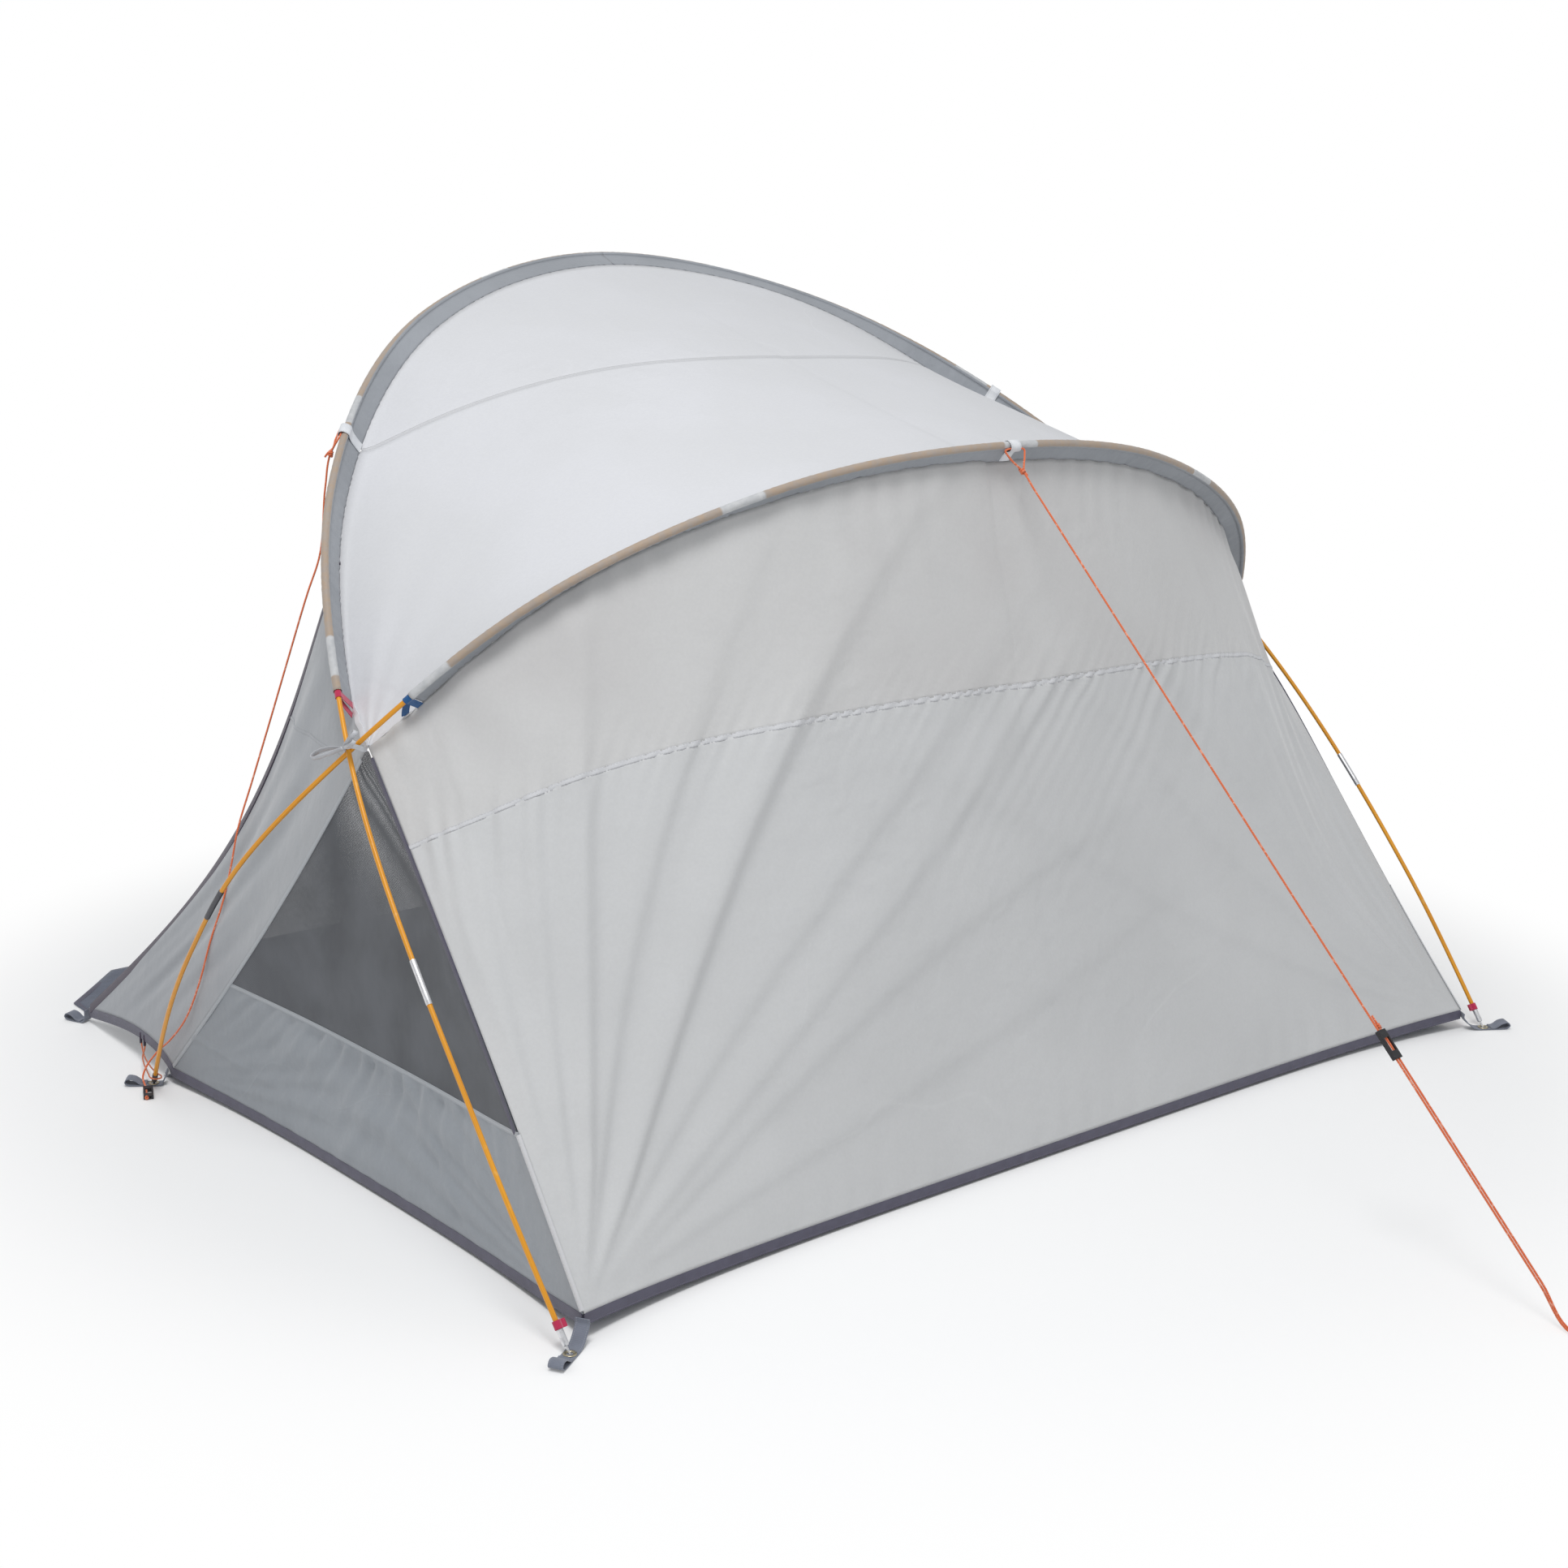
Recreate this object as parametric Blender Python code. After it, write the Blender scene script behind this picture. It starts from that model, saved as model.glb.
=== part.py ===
"""Beach shelter: two crossed arch poles carry a sewn canopy, open at the front, over a groundsheet.

Metres, +Z up. The entrance faces -Y and the rear wall +Y; X runs across, and the shelter is
symmetric about X = 0. The origin is on the ground, below the middle of the fabric and poles.
Cloth is drawn thicker than it is, so that each panel is a solid.
"""
import math

import bmesh
import bpy
import numpy as np
from mathutils import Matrix

# Cloth, tapes and clearances
CLOTH = 0.0012
SLEEVE_WALL = 0.0008
GROUND_CLOTH = 0.0015
GAP = 0.0003
SEAM_SETBACK = 0.0008
BUTT_GAP = 0.0002
BINDING_WIDTH = 0.016
BINDING_THICK = 0.0024
WEBBING_WIDTH = 0.020
WEBBING_THICK = 0.0015
RIBBON_WIDTH = 0.011
RIBBON_THICK = 0.0008
LOOP_TAIL_FALL = 0.020
STRAP_START = 60

# Poles: fibreglass tubes with a shock cord inside and a metal ferrule over each joint
FRONT_SEGMENT = 0.511
REAR_SEGMENT = 0.498
STATIONS_PER_SEGMENT = 5
FRAME_SPAN = 0.002
POLE_RADIUS = 0.0035
POLE_BORE = 0.0018
JOINT_GAP = 0.0004
SHOCK_CORD_RADIUS = 0.0010
FERRULE_LENGTH = 0.065
FERRULE_WALL = 0.0005
TIP_WALL = 0.0009
TIP_SOCKET = 0.022
TIP_FLOOR = 0.0015
PIN_LENGTH = 0.013
PIN_POINT = 0.0022
PIN_CLEARANCE = 0.0006
PIN_RADIUS = 0.0016
TUBE_SIDES = 8
FLANGE_ROOT = math.radians(13)
FRONT_SEGMENTS = 9
REAR_SEGMENTS = 8

# Front arch: it stands on the rear corners and leans forward over the entrance
FRONT_FOOT_X = 0.952
FRONT_KNEE = (0.9635, 0.24)
FRONT_SHOULDER = (0.7595, 0.9605)
FRONT_HAUNCH = (0.4398, 1.191)
FRONT_CROWN_Z = 1.283
FRONT_FOOT_Y = 0.732
FRONT_LEAN = -0.993
FRONT_BELLY = 0.082
FRONT_FLANGE = 0.040
FLANGE_DRIFT_CROWN = 0.012
FLANGE_DRIFT_GAIN = -0.0375
FRONT_SLEEVE_END = 1.336
FRONT_STRAP_S = 0.819

# Rear arch: it stands at the sides, in front of the middle, and leans back
REAR_FOOT_X = 0.982
REAR_KNEE = (1.034, 0.303)
REAR_THIGH = (1.0217, 0.4537)
REAR_SHOULDER = (0.7317, 0.8456)
REAR_HAUNCH = (0.3895, 0.990)
REAR_CROWN_Z = 1.031
REAR_FOOT_Y = -0.3984
REAR_LEAN = 0.826
REAR_BELLY = 0.0277
REAR_FLANGE = 0.033
REAR_SLEEVE_END = 0.981
REAR_STRAP_S = -0.035
REAR_POLE_SHIFT = -0.05

# Where the poles cross, the front pole outside the rear one, and the tie to the canopy
CROSS_X = 0.9175
CROSS_Z = 0.655
CROSS_SPREAD = 0.0108
TIE_REACH = 0.024
TIE_DROP = 0.005
TIE_CENTRE = 0.0045
TIE_LENGTH = 0.0123
TIE_HALF_WIDTH = 0.0135
TIE_KNOT = 0.0038
TIE_BAND = 0.007
BOW_HEIGHT = 0.008
BOWS = (((0.50, -0.85, -0.12), 0.046), ((0.10, 0.85, 0.42), 0.036))

# Canopy corners on the ground line: rear corner, middle of the side, front corner of the wing
REAR_CORNER = (0.917, 0.709)
REAR_CORNER_LIFT = 0.019
HEM_LIFT = 0.012
REAR_HEM_MIDDLE_Y = 0.663
SIDE_CORNER = (0.957, -0.380)
SIDE_CORNER_LIFT = 0.012
SIDE_HEM_BOW = 0.028
WING_CORNER = (0.950, -0.7255)
WING_CORNER_LIFT = 0.010
WING_HEM_ARCH = 0.028
WING_TOP_S = 1.06
WING_EDGE_BOW = 0.115
WING_EDGE_DRAW = 0.014
SIDE_SEAM_BOW = 0.020
REAR_SEAM_BOW = 0.012

# Panel seams, as shares of a panel's height
WINDOW_SILL = 0.70
ROOF_SEAM_REACH = 0.50
WALL_SEAM_SIDE = 0.19
WALL_SEAM_MIDDLE = 0.33
ROOF_SAG = 0.004
FOLD_DEPTH = 0.010
FOLD_COUNT = 9
CORNER_TRIM = 0.012
WING_SETBACK = 0.003
HEM_GAP = 0.0006

# Facets
LENS_COLUMNS = 14
LENS_ROWS = 4
CORNER_COLUMNS = 4
ROOF_ROWS = 7
UPPER_WALL_ROWS = 4
LOWER_WALL_ROWS = 9
WINDOW_ROWS = 8
BAND_ROWS = 3
SIDE_COLUMNS = 10
WING_ROWS = 12
WING_COLUMNS = 7

# Groundsheet and its front flap
FLOOR_RIM = 0.002
FLOOR_GAP = 0.0008
FLOOR_TURN = 0.030
FLAP_SEAM_Y = -0.420
FLAP_DEPTH = 0.534
FLAP_SEAM_HALF_WIDTH = 0.90
FLAP_WAIST_HALF_WIDTH = 0.85
FLAP_EAR_HALF_WIDTH = 0.9365
FLAP_CHAMFER = 0.125

# Eyelets and peg loops
EYELET_BORE = 0.0045
EYELET_FLANGE = 0.0090
EYELET_LIP = 0.0005
EYELET_SIDES = 14
SIDE_STRAP_SKEW = 0.75
PEG_LOOP_LENGTH = 0.034
PEG_LOOP_RISE = 0.010

# Guy lines
GUY_RADIUS = 0.0015
GUY_SPACING = 0.0055
TIE_CORD_RADIUS = 0.00125
CORD_STEPS = 2
RUNNER_LENGTH = 0.043
RUNNER_WIDTH = 0.0155
RUNNER_THICK = 0.0062
RUNNER_DISTANCE = 0.971
STOPPER_LENGTH = 0.012
STOPPER_WIDTH = 0.0068

# The rear guy runs straight from its knot to its peg, and doubles back to the runner
REAR_GUY_KNOT = (-0.0360, 0.4760, 0.9950)
REAR_GUY_FOOT = (-0.0794, 1.4440, 0.0025)

# Routes of the cords, point by point: the knot's tail, through the strap, then down
REAR_GUY = [
    (-0.0412, 0.4816, 0.9883), (-0.0406, 0.4746, 0.9964), (-0.0440, 0.4707, 1.0023),
    (-0.0515, 0.4640, 1.0151), (-0.0540, 0.4596, 1.0244), (-0.0490, 0.4592, 1.0260),
    (-0.0350, 0.4592, 1.0260), (-0.0210, 0.4592, 1.0260), (-0.0160, 0.4596, 1.0244),
    (-0.0200, 0.4637, 1.0147), (-0.0290, 0.4702, 1.0033),
    REAR_GUY_KNOT, (-0.0370, 0.4983, 0.9721), (-0.0470, 0.7203, 0.7446),
    (-0.0579, 0.9645, 0.4941), (-0.0689, 1.2088, 0.2437), (-0.0774, 1.3972, 0.0505),
    (-0.0794, 1.4440, 0.0028), (-0.0785, 1.4540, 0.0022), (-0.0758, 1.4650, 0.0022),
    (-0.0742, 1.4740, 0.0022), (-0.0765, 1.4815, 0.0022), (-0.0822, 1.4845, 0.0022),
    (-0.0879, 1.4815, 0.0022), (-0.0902, 1.4740, 0.0022), (-0.0886, 1.4650, 0.0022),
    (-0.0859, 1.4540, 0.0022), (-0.0849, 1.4438, 0.0028), (-0.0829, 1.3970, 0.0505),
    (-0.0790, 1.3100, 0.1397), (-0.0748, 1.2160, 0.2361), (-0.0715, 1.1425, 0.3114),
    (-0.0706, 1.1230, 0.3315)]
FRONT_GUY = [
    (0.7176, -0.2545, 0.9958), (0.7125, -0.2512, 1.0034), (0.7072, -0.2511, 1.0070),
    (0.6952, -0.2599, 1.0212), (0.6862, -0.2635, 1.0336), (0.6820, -0.2593, 1.0431),
    (0.6842, -0.2533, 1.0431), (0.6925, -0.2447, 1.0357), (0.7008, -0.2362, 1.0283),
    (0.7045, -0.2362, 1.0230), (0.7087, -0.2410, 1.0128),
    (0.7120, -0.2470, 1.0010), (0.7196, -0.2517, 0.9530), (0.7353, -0.2507, 0.8423),
    (0.7587, -0.2458, 0.7936), (0.7905, -0.2539, 0.6966), (0.8233, -0.2592, 0.5998),
    (0.8566, -0.2613, 0.5083), (0.8842, -0.2638, 0.4303), (0.8966, -0.2635, 0.3796),
    (0.9130, -0.2640, 0.3240), (0.9320, -0.2750, 0.2600), (0.9430, -0.2890, 0.2020),
    (0.9560, -0.3240, 0.1260), (0.9640, -0.3700, 0.0780), (0.9760, -0.4020, 0.0470),
    (0.9900, -0.4070, 0.0270), (0.9985, -0.4015, 0.0135), (0.9999, -0.3940, 0.0066),
    (1.0015, -0.3835, 0.0034), (1.0060, -0.3730, 0.0033), (1.0142, -0.3538, 0.0033),
    (1.0185, -0.3440, 0.0034)]
WING_TIE = [
    (0.9546, -0.5020, 0.0378), (0.9552, -0.5000, 0.0300), (0.9610, -0.4800, 0.0200),
    (0.9690, -0.4450, 0.0165), (0.9745, -0.4150, 0.0170), (0.9770, -0.3920, 0.0180),
    (0.9775, -0.3780, 0.0185), (0.9825, -0.3698, 0.0190), (0.9900, -0.3703, 0.0190),
    (0.9940, -0.3800, 0.0185), (0.9905, -0.3980, 0.0190), (0.9840, -0.4200, 0.0185),
    (0.9750, -0.4500, 0.0180), (0.9650, -0.4750, 0.0210), (0.9560, -0.4860, 0.0300),
    (0.9549, -0.4870, 0.0378)]
# The front runner lies on the ground, on the last stretch of its line
FRONT_RUNNER_LINE = ((1.0060, -0.3730, 0.0033), (1.0142, -0.3538, 0.0033))


def material(name, colour, roughness, metallic=0.0):
    """A plain Principled material."""
    made = bpy.data.materials.new(name)
    made.use_nodes = True
    shader = made.node_tree.nodes["Principled BSDF"]
    shader.inputs["Base Color"].default_value = (*colour, 1.0)
    shader.inputs["Roughness"].default_value = roughness
    shader.inputs["Metallic"].default_value = metallic
    return made


class Solid:
    """Collects swept and panelled shells, then makes one named object of them."""

    def __init__(self):
        self.points = []
        self.faces = []

    def add(self, points, faces):
        start = len(self.points)
        self.points += [tuple(float(value) for value in point) for point in points]
        self.faces += [[start + index for index in face] for face in faces]

    def sweep(self, rings):
        """A solid through rings of equal count, capped at both ends."""
        count = len(rings[0])
        faces = []
        for row in range(len(rings) - 1):
            for k in range(count):
                a = row * count + k
                b = row * count + (k + 1) % count
                faces.append([a, b, b + count, a + count])
        last = (len(rings) - 1) * count
        faces.append(list(range(count)))
        faces.append([last + k for k in range(count)])
        self.add([point for ring in rings for point in ring], faces)

    def band(self, rings):
        """A solid through rings of equal count whose last ring joins the first, such as a tube."""
        count = len(rings[0])
        faces = []
        for row in range(len(rings)):
            after = (row + 1) % len(rings)
            for k in range(count):
                n = (k + 1) % count
                faces.append([row * count + k, row * count + n, after * count + n, after * count + k])
        self.add([point for ring in rings for point in ring], faces)

    def sheet(self, grid, thickness):
        """A solid sheet of even thickness centred on a grid of surface points."""
        along = np.gradient(grid, axis=0)
        across = np.gradient(grid, axis=1)
        normal = np.cross(along, across)
        normal /= np.linalg.norm(normal, axis=2, keepdims=True)
        rows, columns = grid.shape[:2]
        layers = [grid + normal * thickness / 2, grid - normal * thickness / 2]
        half = rows * columns

        def at(layer, i, j):
            return layer * half + i * columns + j

        faces = []
        for i in range(rows - 1):
            for j in range(columns - 1):
                for layer in (0, 1):
                    faces.append([at(layer, i, j), at(layer, i + 1, j), at(layer, i + 1, j + 1)])
                    faces.append([at(layer, i, j), at(layer, i + 1, j + 1), at(layer, i, j + 1)])
        for i in range(rows - 1):
            for j in (0, columns - 1):
                faces.append([at(0, i, j), at(0, i + 1, j), at(1, i + 1, j), at(1, i, j)])
        for j in range(columns - 1):
            for i in (0, rows - 1):
                faces.append([at(0, i, j), at(0, i, j + 1), at(1, i, j + 1), at(1, i, j)])
        self.add(np.concatenate([layer.reshape(-1, 3) for layer in layers]), faces)

    def slab(self, outline, bottom, top):
        """A flat plate from an outline in the ground plane."""
        self.sweep([[(x, y, level) for x, y in outline] for level in (bottom, top)])

    def build(self, name, finish, smooth=False):
        mesh = bpy.data.meshes.new(name)
        mesh.from_pydata(self.points, [], self.faces)
        shaped = bmesh.new()
        shaped.from_mesh(mesh)
        bmesh.ops.recalc_face_normals(shaped, faces=shaped.faces)
        shaped.to_mesh(mesh)
        shaped.free()
        made = bpy.data.objects.new(name, mesh)
        bpy.context.collection.objects.link(made)
        mesh.materials.append(finish)
        if smooth:
            mesh.shade_smooth()
            mesh.set_sharp_from_angle(angle=math.radians(35))
        return made


def unit(vector):
    vector = np.asarray(vector, float)
    return vector / np.linalg.norm(vector)


def smooth_line(controls, steps=24):
    """A smooth curve through control points that may be unevenly spaced."""
    controls = np.asarray(controls, float)
    spans = np.linalg.norm(np.diff(controls, axis=0), axis=1)[:, None]
    slopes = np.diff(controls, axis=0) / spans
    middle = (slopes[:-1] * spans[1:] + slopes[1:] * spans[:-1]) / (spans[:-1] + spans[1:])
    first = 1.5 * slopes[0] - 0.5 * middle[0]
    last = 1.5 * slopes[-1] - 0.5 * middle[-1]
    tangents = np.vstack([first, middle, last])
    line = []
    for k, span in enumerate(spans):
        for t in np.arange(steps) / steps:
            line.append((2 * t ** 3 - 3 * t ** 2 + 1) * controls[k]
                        + (t ** 3 - 2 * t ** 2 + t) * span * tangents[k]
                        + (3 * t ** 2 - 2 * t ** 3) * controls[k + 1]
                        + (t ** 3 - t ** 2) * span * tangents[k + 1])
    line.append(controls[-1])
    return np.array(line)


def lengths_along(line):
    steps = np.linalg.norm(np.diff(line, axis=0), axis=1)
    return np.concatenate([[0.0], np.cumsum(steps)])


def at_length(line, lengths, wanted):
    return np.array([np.interp(wanted, lengths, line[:, axis]) for axis in range(3)])


class Arch:
    """A bent pole. Places on it are lengths from the crown, positive towards +X.

    The poles, ferrules and sleeves all follow one line of straight steps between stations, so that
    they stay concentric.
    """

    def __init__(self, profile, crown_z, foot_y, lean, belly, segment, joints, flange):
        self.crown_z = crown_z
        self.foot_y = foot_y
        self.lean = lean
        self.belly = belly
        self.joints = joints
        self.flange = flange
        half = [(x, self.depth(z), z) for x, z in profile]
        other = [(-x, y, z) for x, y, z in half[:-1]]
        curve = smooth_line(other + half[::-1])
        lengths = lengths_along(curve)
        self.half_length = lengths[-1] / 2
        lengths = lengths - self.half_length
        step = segment / STATIONS_PER_SEGMENT
        first = joints[0] - step * math.floor((joints[0] + self.half_length) / step)
        stations = [first + step * k for k in range(int(2 * self.half_length / step) + 1)]
        inside = [s for s in stations if abs(s) < self.half_length - step / 4]
        self.stations = np.array([-self.half_length, *inside, self.half_length])
        self.line = np.array([at_length(curve, lengths, s) for s in self.stations])

    def depth(self, z):
        """Y of the pole at height z: it leans evenly, with a slight belly."""
        share = z / self.crown_z
        return self.foot_y + self.lean * z + self.belly * 4 * share * (1 - share)

    def point(self, s):
        return at_length(self.line, self.stations, s)

    def frame(self, s):
        """Direction along the pole, inward to the canopy, and across the flange."""
        low = max(s - FRAME_SPAN, -self.half_length)
        high = min(s + FRAME_SPAN, self.half_length)
        along = unit(self.point(high) - self.point(low))
        z = self.point(s)[2]
        slope = (self.depth(z + 0.005) - self.depth(z - 0.005)) / 0.01
        across = unit((0.0, -1.0, slope))
        inward = np.cross(across, along)
        if np.dot(inward, np.array([0.0, self.depth(z), 0.3]) - self.point(s)) < 0:
            inward = -inward
        inward = unit(inward)
        return along, inward, unit(np.cross(along, inward))

    def between(self, start, end):
        """The places from start to end with the stations between them."""
        return [start, *[s for s in self.stations if start + 1e-6 < s < end - 1e-6], end]

    def ring(self, s, radius, sides=TUBE_SIDES):
        along, inward, across = self.frame(s)
        centre = self.point(s)
        angles = [2 * math.pi * (k + 0.5) / sides for k in range(sides)]
        return [centre + radius * (math.cos(a) * inward + math.sin(a) * across) for a in angles]

    def turned(self, solid, outline, closed):
        """A solid turned about the bent pole, from an outline of places and radii."""
        stops = outline + outline[:1] if closed else outline
        rings = [self.ring(*stops[0])]
        for (start, radius), (end, next_radius) in zip(stops, stops[1:]):
            if radius == next_radius:
                low, high = sorted((start, end))
                passed = self.between(low, high)[1:-1]
                rings += [self.ring(s, radius) for s in (passed if end > start else passed[::-1])]
            rings.append(self.ring(end, next_radius))
        if closed:
            solid.band(rings[:-1])
        else:
            solid.sweep(rings)

    def off(self, s, inward_by, across_by=0.0, along_by=0.0):
        """A point beside the pole, by distances inward, across the flange and along the pole."""
        along, inward, across = self.frame(s)
        return self.point(s) + inward_by * inward + across_by * across + along_by * along


def half_profile(foot_x, leg, crossing_x, shoulder, haunch, crown_z):
    return [(foot_x, 0.0), *leg, (crossing_x, CROSS_Z), shoulder, haunch, (0.0, crown_z)]


def front_joints():
    return [FRONT_SEGMENT * (k - FRONT_SEGMENTS / 2) for k in range(1, FRONT_SEGMENTS)]


def rear_joints():
    return [REAR_POLE_SHIFT + REAR_SEGMENT * (k - REAR_SEGMENTS / 2) for k in range(1, REAR_SEGMENTS)]


FRONT = Arch(half_profile(FRONT_FOOT_X, [FRONT_KNEE], CROSS_X + CROSS_SPREAD / 2, FRONT_SHOULDER,
                          FRONT_HAUNCH, FRONT_CROWN_Z),
             FRONT_CROWN_Z, FRONT_FOOT_Y, FRONT_LEAN, FRONT_BELLY, FRONT_SEGMENT, front_joints(),
             FRONT_FLANGE)
REAR = Arch(half_profile(REAR_FOOT_X, [REAR_KNEE, REAR_THIGH], CROSS_X - CROSS_SPREAD / 2, REAR_SHOULDER,
                         REAR_HAUNCH, REAR_CROWN_Z),
            REAR_CROWN_Z, REAR_FOOT_Y, REAR_LEAN, REAR_BELLY, REAR_SEGMENT, rear_joints(), REAR_FLANGE)


def crossing():
    """Where the two poles cross on the +X side, seen from the side."""
    heights = np.linspace(0.3, 1.0, 1401)
    apart = [abs(FRONT.depth(z) - REAR.depth(z)) for z in heights]
    z = float(heights[int(np.argmin(apart))])
    return np.array([CROSS_X, FRONT.depth(z), z])


CROSS = crossing()
VERTEX = CROSS + np.array([-TIE_REACH, 0.0, -TIE_DROP])
SOCKET_RADIUS = POLE_RADIUS + GAP
FERRULE_RADIUS = SOCKET_RADIUS + FERRULE_WALL
TIP_RADIUS = POLE_RADIUS + TIP_WALL
SLEEVE_STEP = (2 * math.pi - 2 * FLANGE_ROOT) / (TUBE_SIDES - 1)
SLEEVE_BORE = (FERRULE_RADIUS + GAP) / math.cos(SLEEVE_STEP / 2)
SLEEVE_RADIUS = SLEEVE_BORE + SLEEVE_WALL


def mirrored(point, side):
    return np.array([side * point[0], point[1], point[2]])


def canopy_line(arch, s, sleeve_end):
    """The seam where a flange, the roof and the panel beyond it meet; past the sleeve it runs
    straight to the tied corner of the canopy."""
    side = 1 if s >= 0 else -1
    reach = min(abs(s), sleeve_end)
    here = arch.off(side * reach, flange_depth(arch, reach, sleeve_end), flange_drift(arch, reach))
    if abs(s) <= sleeve_end:
        return here
    share = (abs(s) - sleeve_end) / (canopy_reach(arch) - sleeve_end)
    return here + (mirrored(VERTEX, side) - here) * share


def canopy_reach(arch):
    """Length from the crown to the poles' crossing."""
    offsets = np.linalg.norm(arch.line - CROSS, axis=1)
    near = int(np.argmin(offsets))
    places = np.linspace(arch.stations[near - 1], arch.stations[near + 1], 201)
    return float(places[int(np.argmin([np.linalg.norm(arch.point(s) - CROSS) for s in places]))])


def flange_depth(arch, s, sleeve_end):
    """The rear flange narrows towards the crossing; the front one hardly does."""
    taper = 0.30 if arch is REAR else 0.06
    return arch.flange * (1 - taper * (s / sleeve_end) ** 6)


def flange_drift(arch, s):
    """How far the canopy pulls a flange out of the arch's own surface."""
    if arch is REAR:
        return 0.0
    return FLANGE_DRIFT_CROWN + FLANGE_DRIFT_GAIN * (s / FRONT_SLEEVE_END) ** 2


FRONT_REACH = canopy_reach(FRONT)
REAR_REACH = canopy_reach(REAR)


def front_seam(share):
    """Along the front arch's seam, from the +X corner at 0 to the -X corner at 1."""
    return canopy_line(FRONT, FRONT_REACH * (1 - 2 * share), FRONT_SLEEVE_END)


def rear_seam(share):
    return canopy_line(REAR, REAR_REACH * (1 - 2 * share), REAR_SLEEVE_END)


def rear_hem(share, rise=0.0):
    """Bottom edge of the rear wall, raised by a part of the binding's width."""
    across = 1 - 2 * share
    corner_x, corner_y = REAR_CORNER
    bend = abs(across) ** 5
    return np.array([corner_x * across,
                     REAR_HEM_MIDDLE_Y + (corner_y - REAR_HEM_MIDDLE_Y) * bend,
                     HEM_LIFT + (REAR_CORNER_LIFT - HEM_LIFT) * bend + rise])


def side_hem(share, rise=0.0):
    """Bottom edge of the side, from the pole's foot at 0 to the rear corner at 1."""
    start = np.array([*SIDE_CORNER, SIDE_CORNER_LIFT])
    end = np.array([*REAR_CORNER, REAR_CORNER_LIFT])
    flat = abs(2 * share - 1)
    here = start + (end - start) * share
    here[0] -= SIDE_HEM_BOW * (1 - flat ** 3)
    here[2] = HEM_LIFT + (here[2] - HEM_LIFT) * flat ** 5 + rise
    return here


def wing_hem(share, rise=0.0):
    """Bottom edge of the wing, from the pole's foot to the front corner; it stands off the ground."""
    start = np.array([*SIDE_CORNER, SIDE_CORNER_LIFT])
    end = np.array([*WING_CORNER, WING_CORNER_LIFT])
    here = start + (end - start) * share
    here[2] += WING_HEM_ARCH * math.sin(math.pi * share ** 0.65) + rise
    return here


def roof(share, back):
    """Roof surface from the front arch's seam, back = 0, to the rear arch's, back = 1."""
    here = front_seam(share) * (1 - back) + rear_seam(share) * back
    middle = math.sin(math.pi * share) * 4 * back * (1 - back)
    return here - np.array([0.0, 0.0, ROOF_SAG * middle])


def rear_wall(share, down):
    """Rear wall from the rear arch's seam down to its hem binding."""
    edge = abs(2 * share - 1)
    here = rear_seam(share) * (1 - down) + rear_hem(share, BINDING_WIDTH) * down
    here[1] += REAR_SEAM_BOW * math.sin(math.pi * down) * edge ** 6
    fold = math.cos(2 * math.pi * FOLD_COUNT * share) * math.sin(math.pi * share)
    here[1] += FOLD_DEPTH * fold * wall_fold_strength(share, down)
    return here


def wall_seam(share):
    """The rear wall's middle seam, as a share of the height."""
    return WALL_SEAM_SIDE + (WALL_SEAM_MIDDLE - WALL_SEAM_SIDE) * (1 - (2 * share - 1) ** 2)


def wall_fold_strength(share, down):
    """Folds hang from the middle seam and run out at the hem."""
    seam = wall_seam(share)
    if down <= seam:
        return 0.0
    fall = (down - seam) / (1 - seam)
    return math.sin(math.pi * fall ** 0.7)


def side_panel(share, down):
    """Side triangle from the tied corner down to the side hem binding."""
    here = VERTEX + (side_hem(share, BINDING_WIDTH) - VERTEX) * down
    bow = SIDE_SEAM_BOW * (1 - share) + REAR_SEAM_BOW * share
    here[1] += bow * math.sin(math.pi * down)
    return here


def wing_edge(down):
    """Front edge of the wing, from the front arch's seam to the front corner."""
    top = canopy_line(FRONT, WING_TOP_S, FRONT_SLEEVE_END)
    here = top + (wing_hem(1.0, BINDING_WIDTH) - top) * down
    bow = math.sin(math.pi * down ** 1.1)
    return here + np.array([-WING_EDGE_DRAW * bow, WING_EDGE_BOW * bow, 0.0])


def wing(forward, down):
    """Wing surface between the side seam, the front arch, the front edge and the hem."""
    top = canopy_line(FRONT, FRONT_REACH + (WING_TOP_S - FRONT_REACH) * forward, FRONT_SLEEVE_END)
    bottom = wing_hem(forward, BINDING_WIDTH)
    behind = side_panel(0.0, down)
    before = wing_edge(down)
    corners = ((1 - forward) * (1 - down) * VERTEX + forward * (1 - down) * wing_edge(0.0)
               + (1 - forward) * down * side_panel(0.0, 1.0) + forward * down * wing_edge(1.0))
    return top * (1 - down) + bottom * down + behind * (1 - forward) + before * forward - corners


def grid_of(surface, shares, columns, near=0.0, far=1.0):
    """Points of a surface at the given first shares; near and far may depend on them."""
    grid = []
    for a in shares:
        first = near(a) if callable(near) else near
        last = far(a) if callable(far) else far
        grid.append([surface(a, b) for b in np.linspace(first, last, columns + 1)])
    return np.array(grid)


def flipped(grid, side):
    """The grid on the wanted side of X = 0."""
    return grid * np.array([side, 1.0, 1.0])


def sides():
    return (("left", 1), ("right", -1))


def ribbon(solid, path, width_direction, width, thickness):
    """A flat band swept along a path, its width along one direction."""
    path = np.asarray(path, float)
    along = np.gradient(path, axis=0)
    rings = []
    for k, centre in enumerate(path):
        direction = width_direction[k] if np.ndim(width_direction) == 2 else width_direction
        forward = unit(along[k])
        wide = unit(direction - np.dot(direction, forward) * forward)
        thin = np.cross(forward, wide)
        corners = ((-1, -1), (1, -1), (1, 1), (-1, 1))
        rings.append([centre + wide * width / 2 * a + thin * thickness / 2 * b for a, b in corners])
    solid.sweep(rings)


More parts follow.
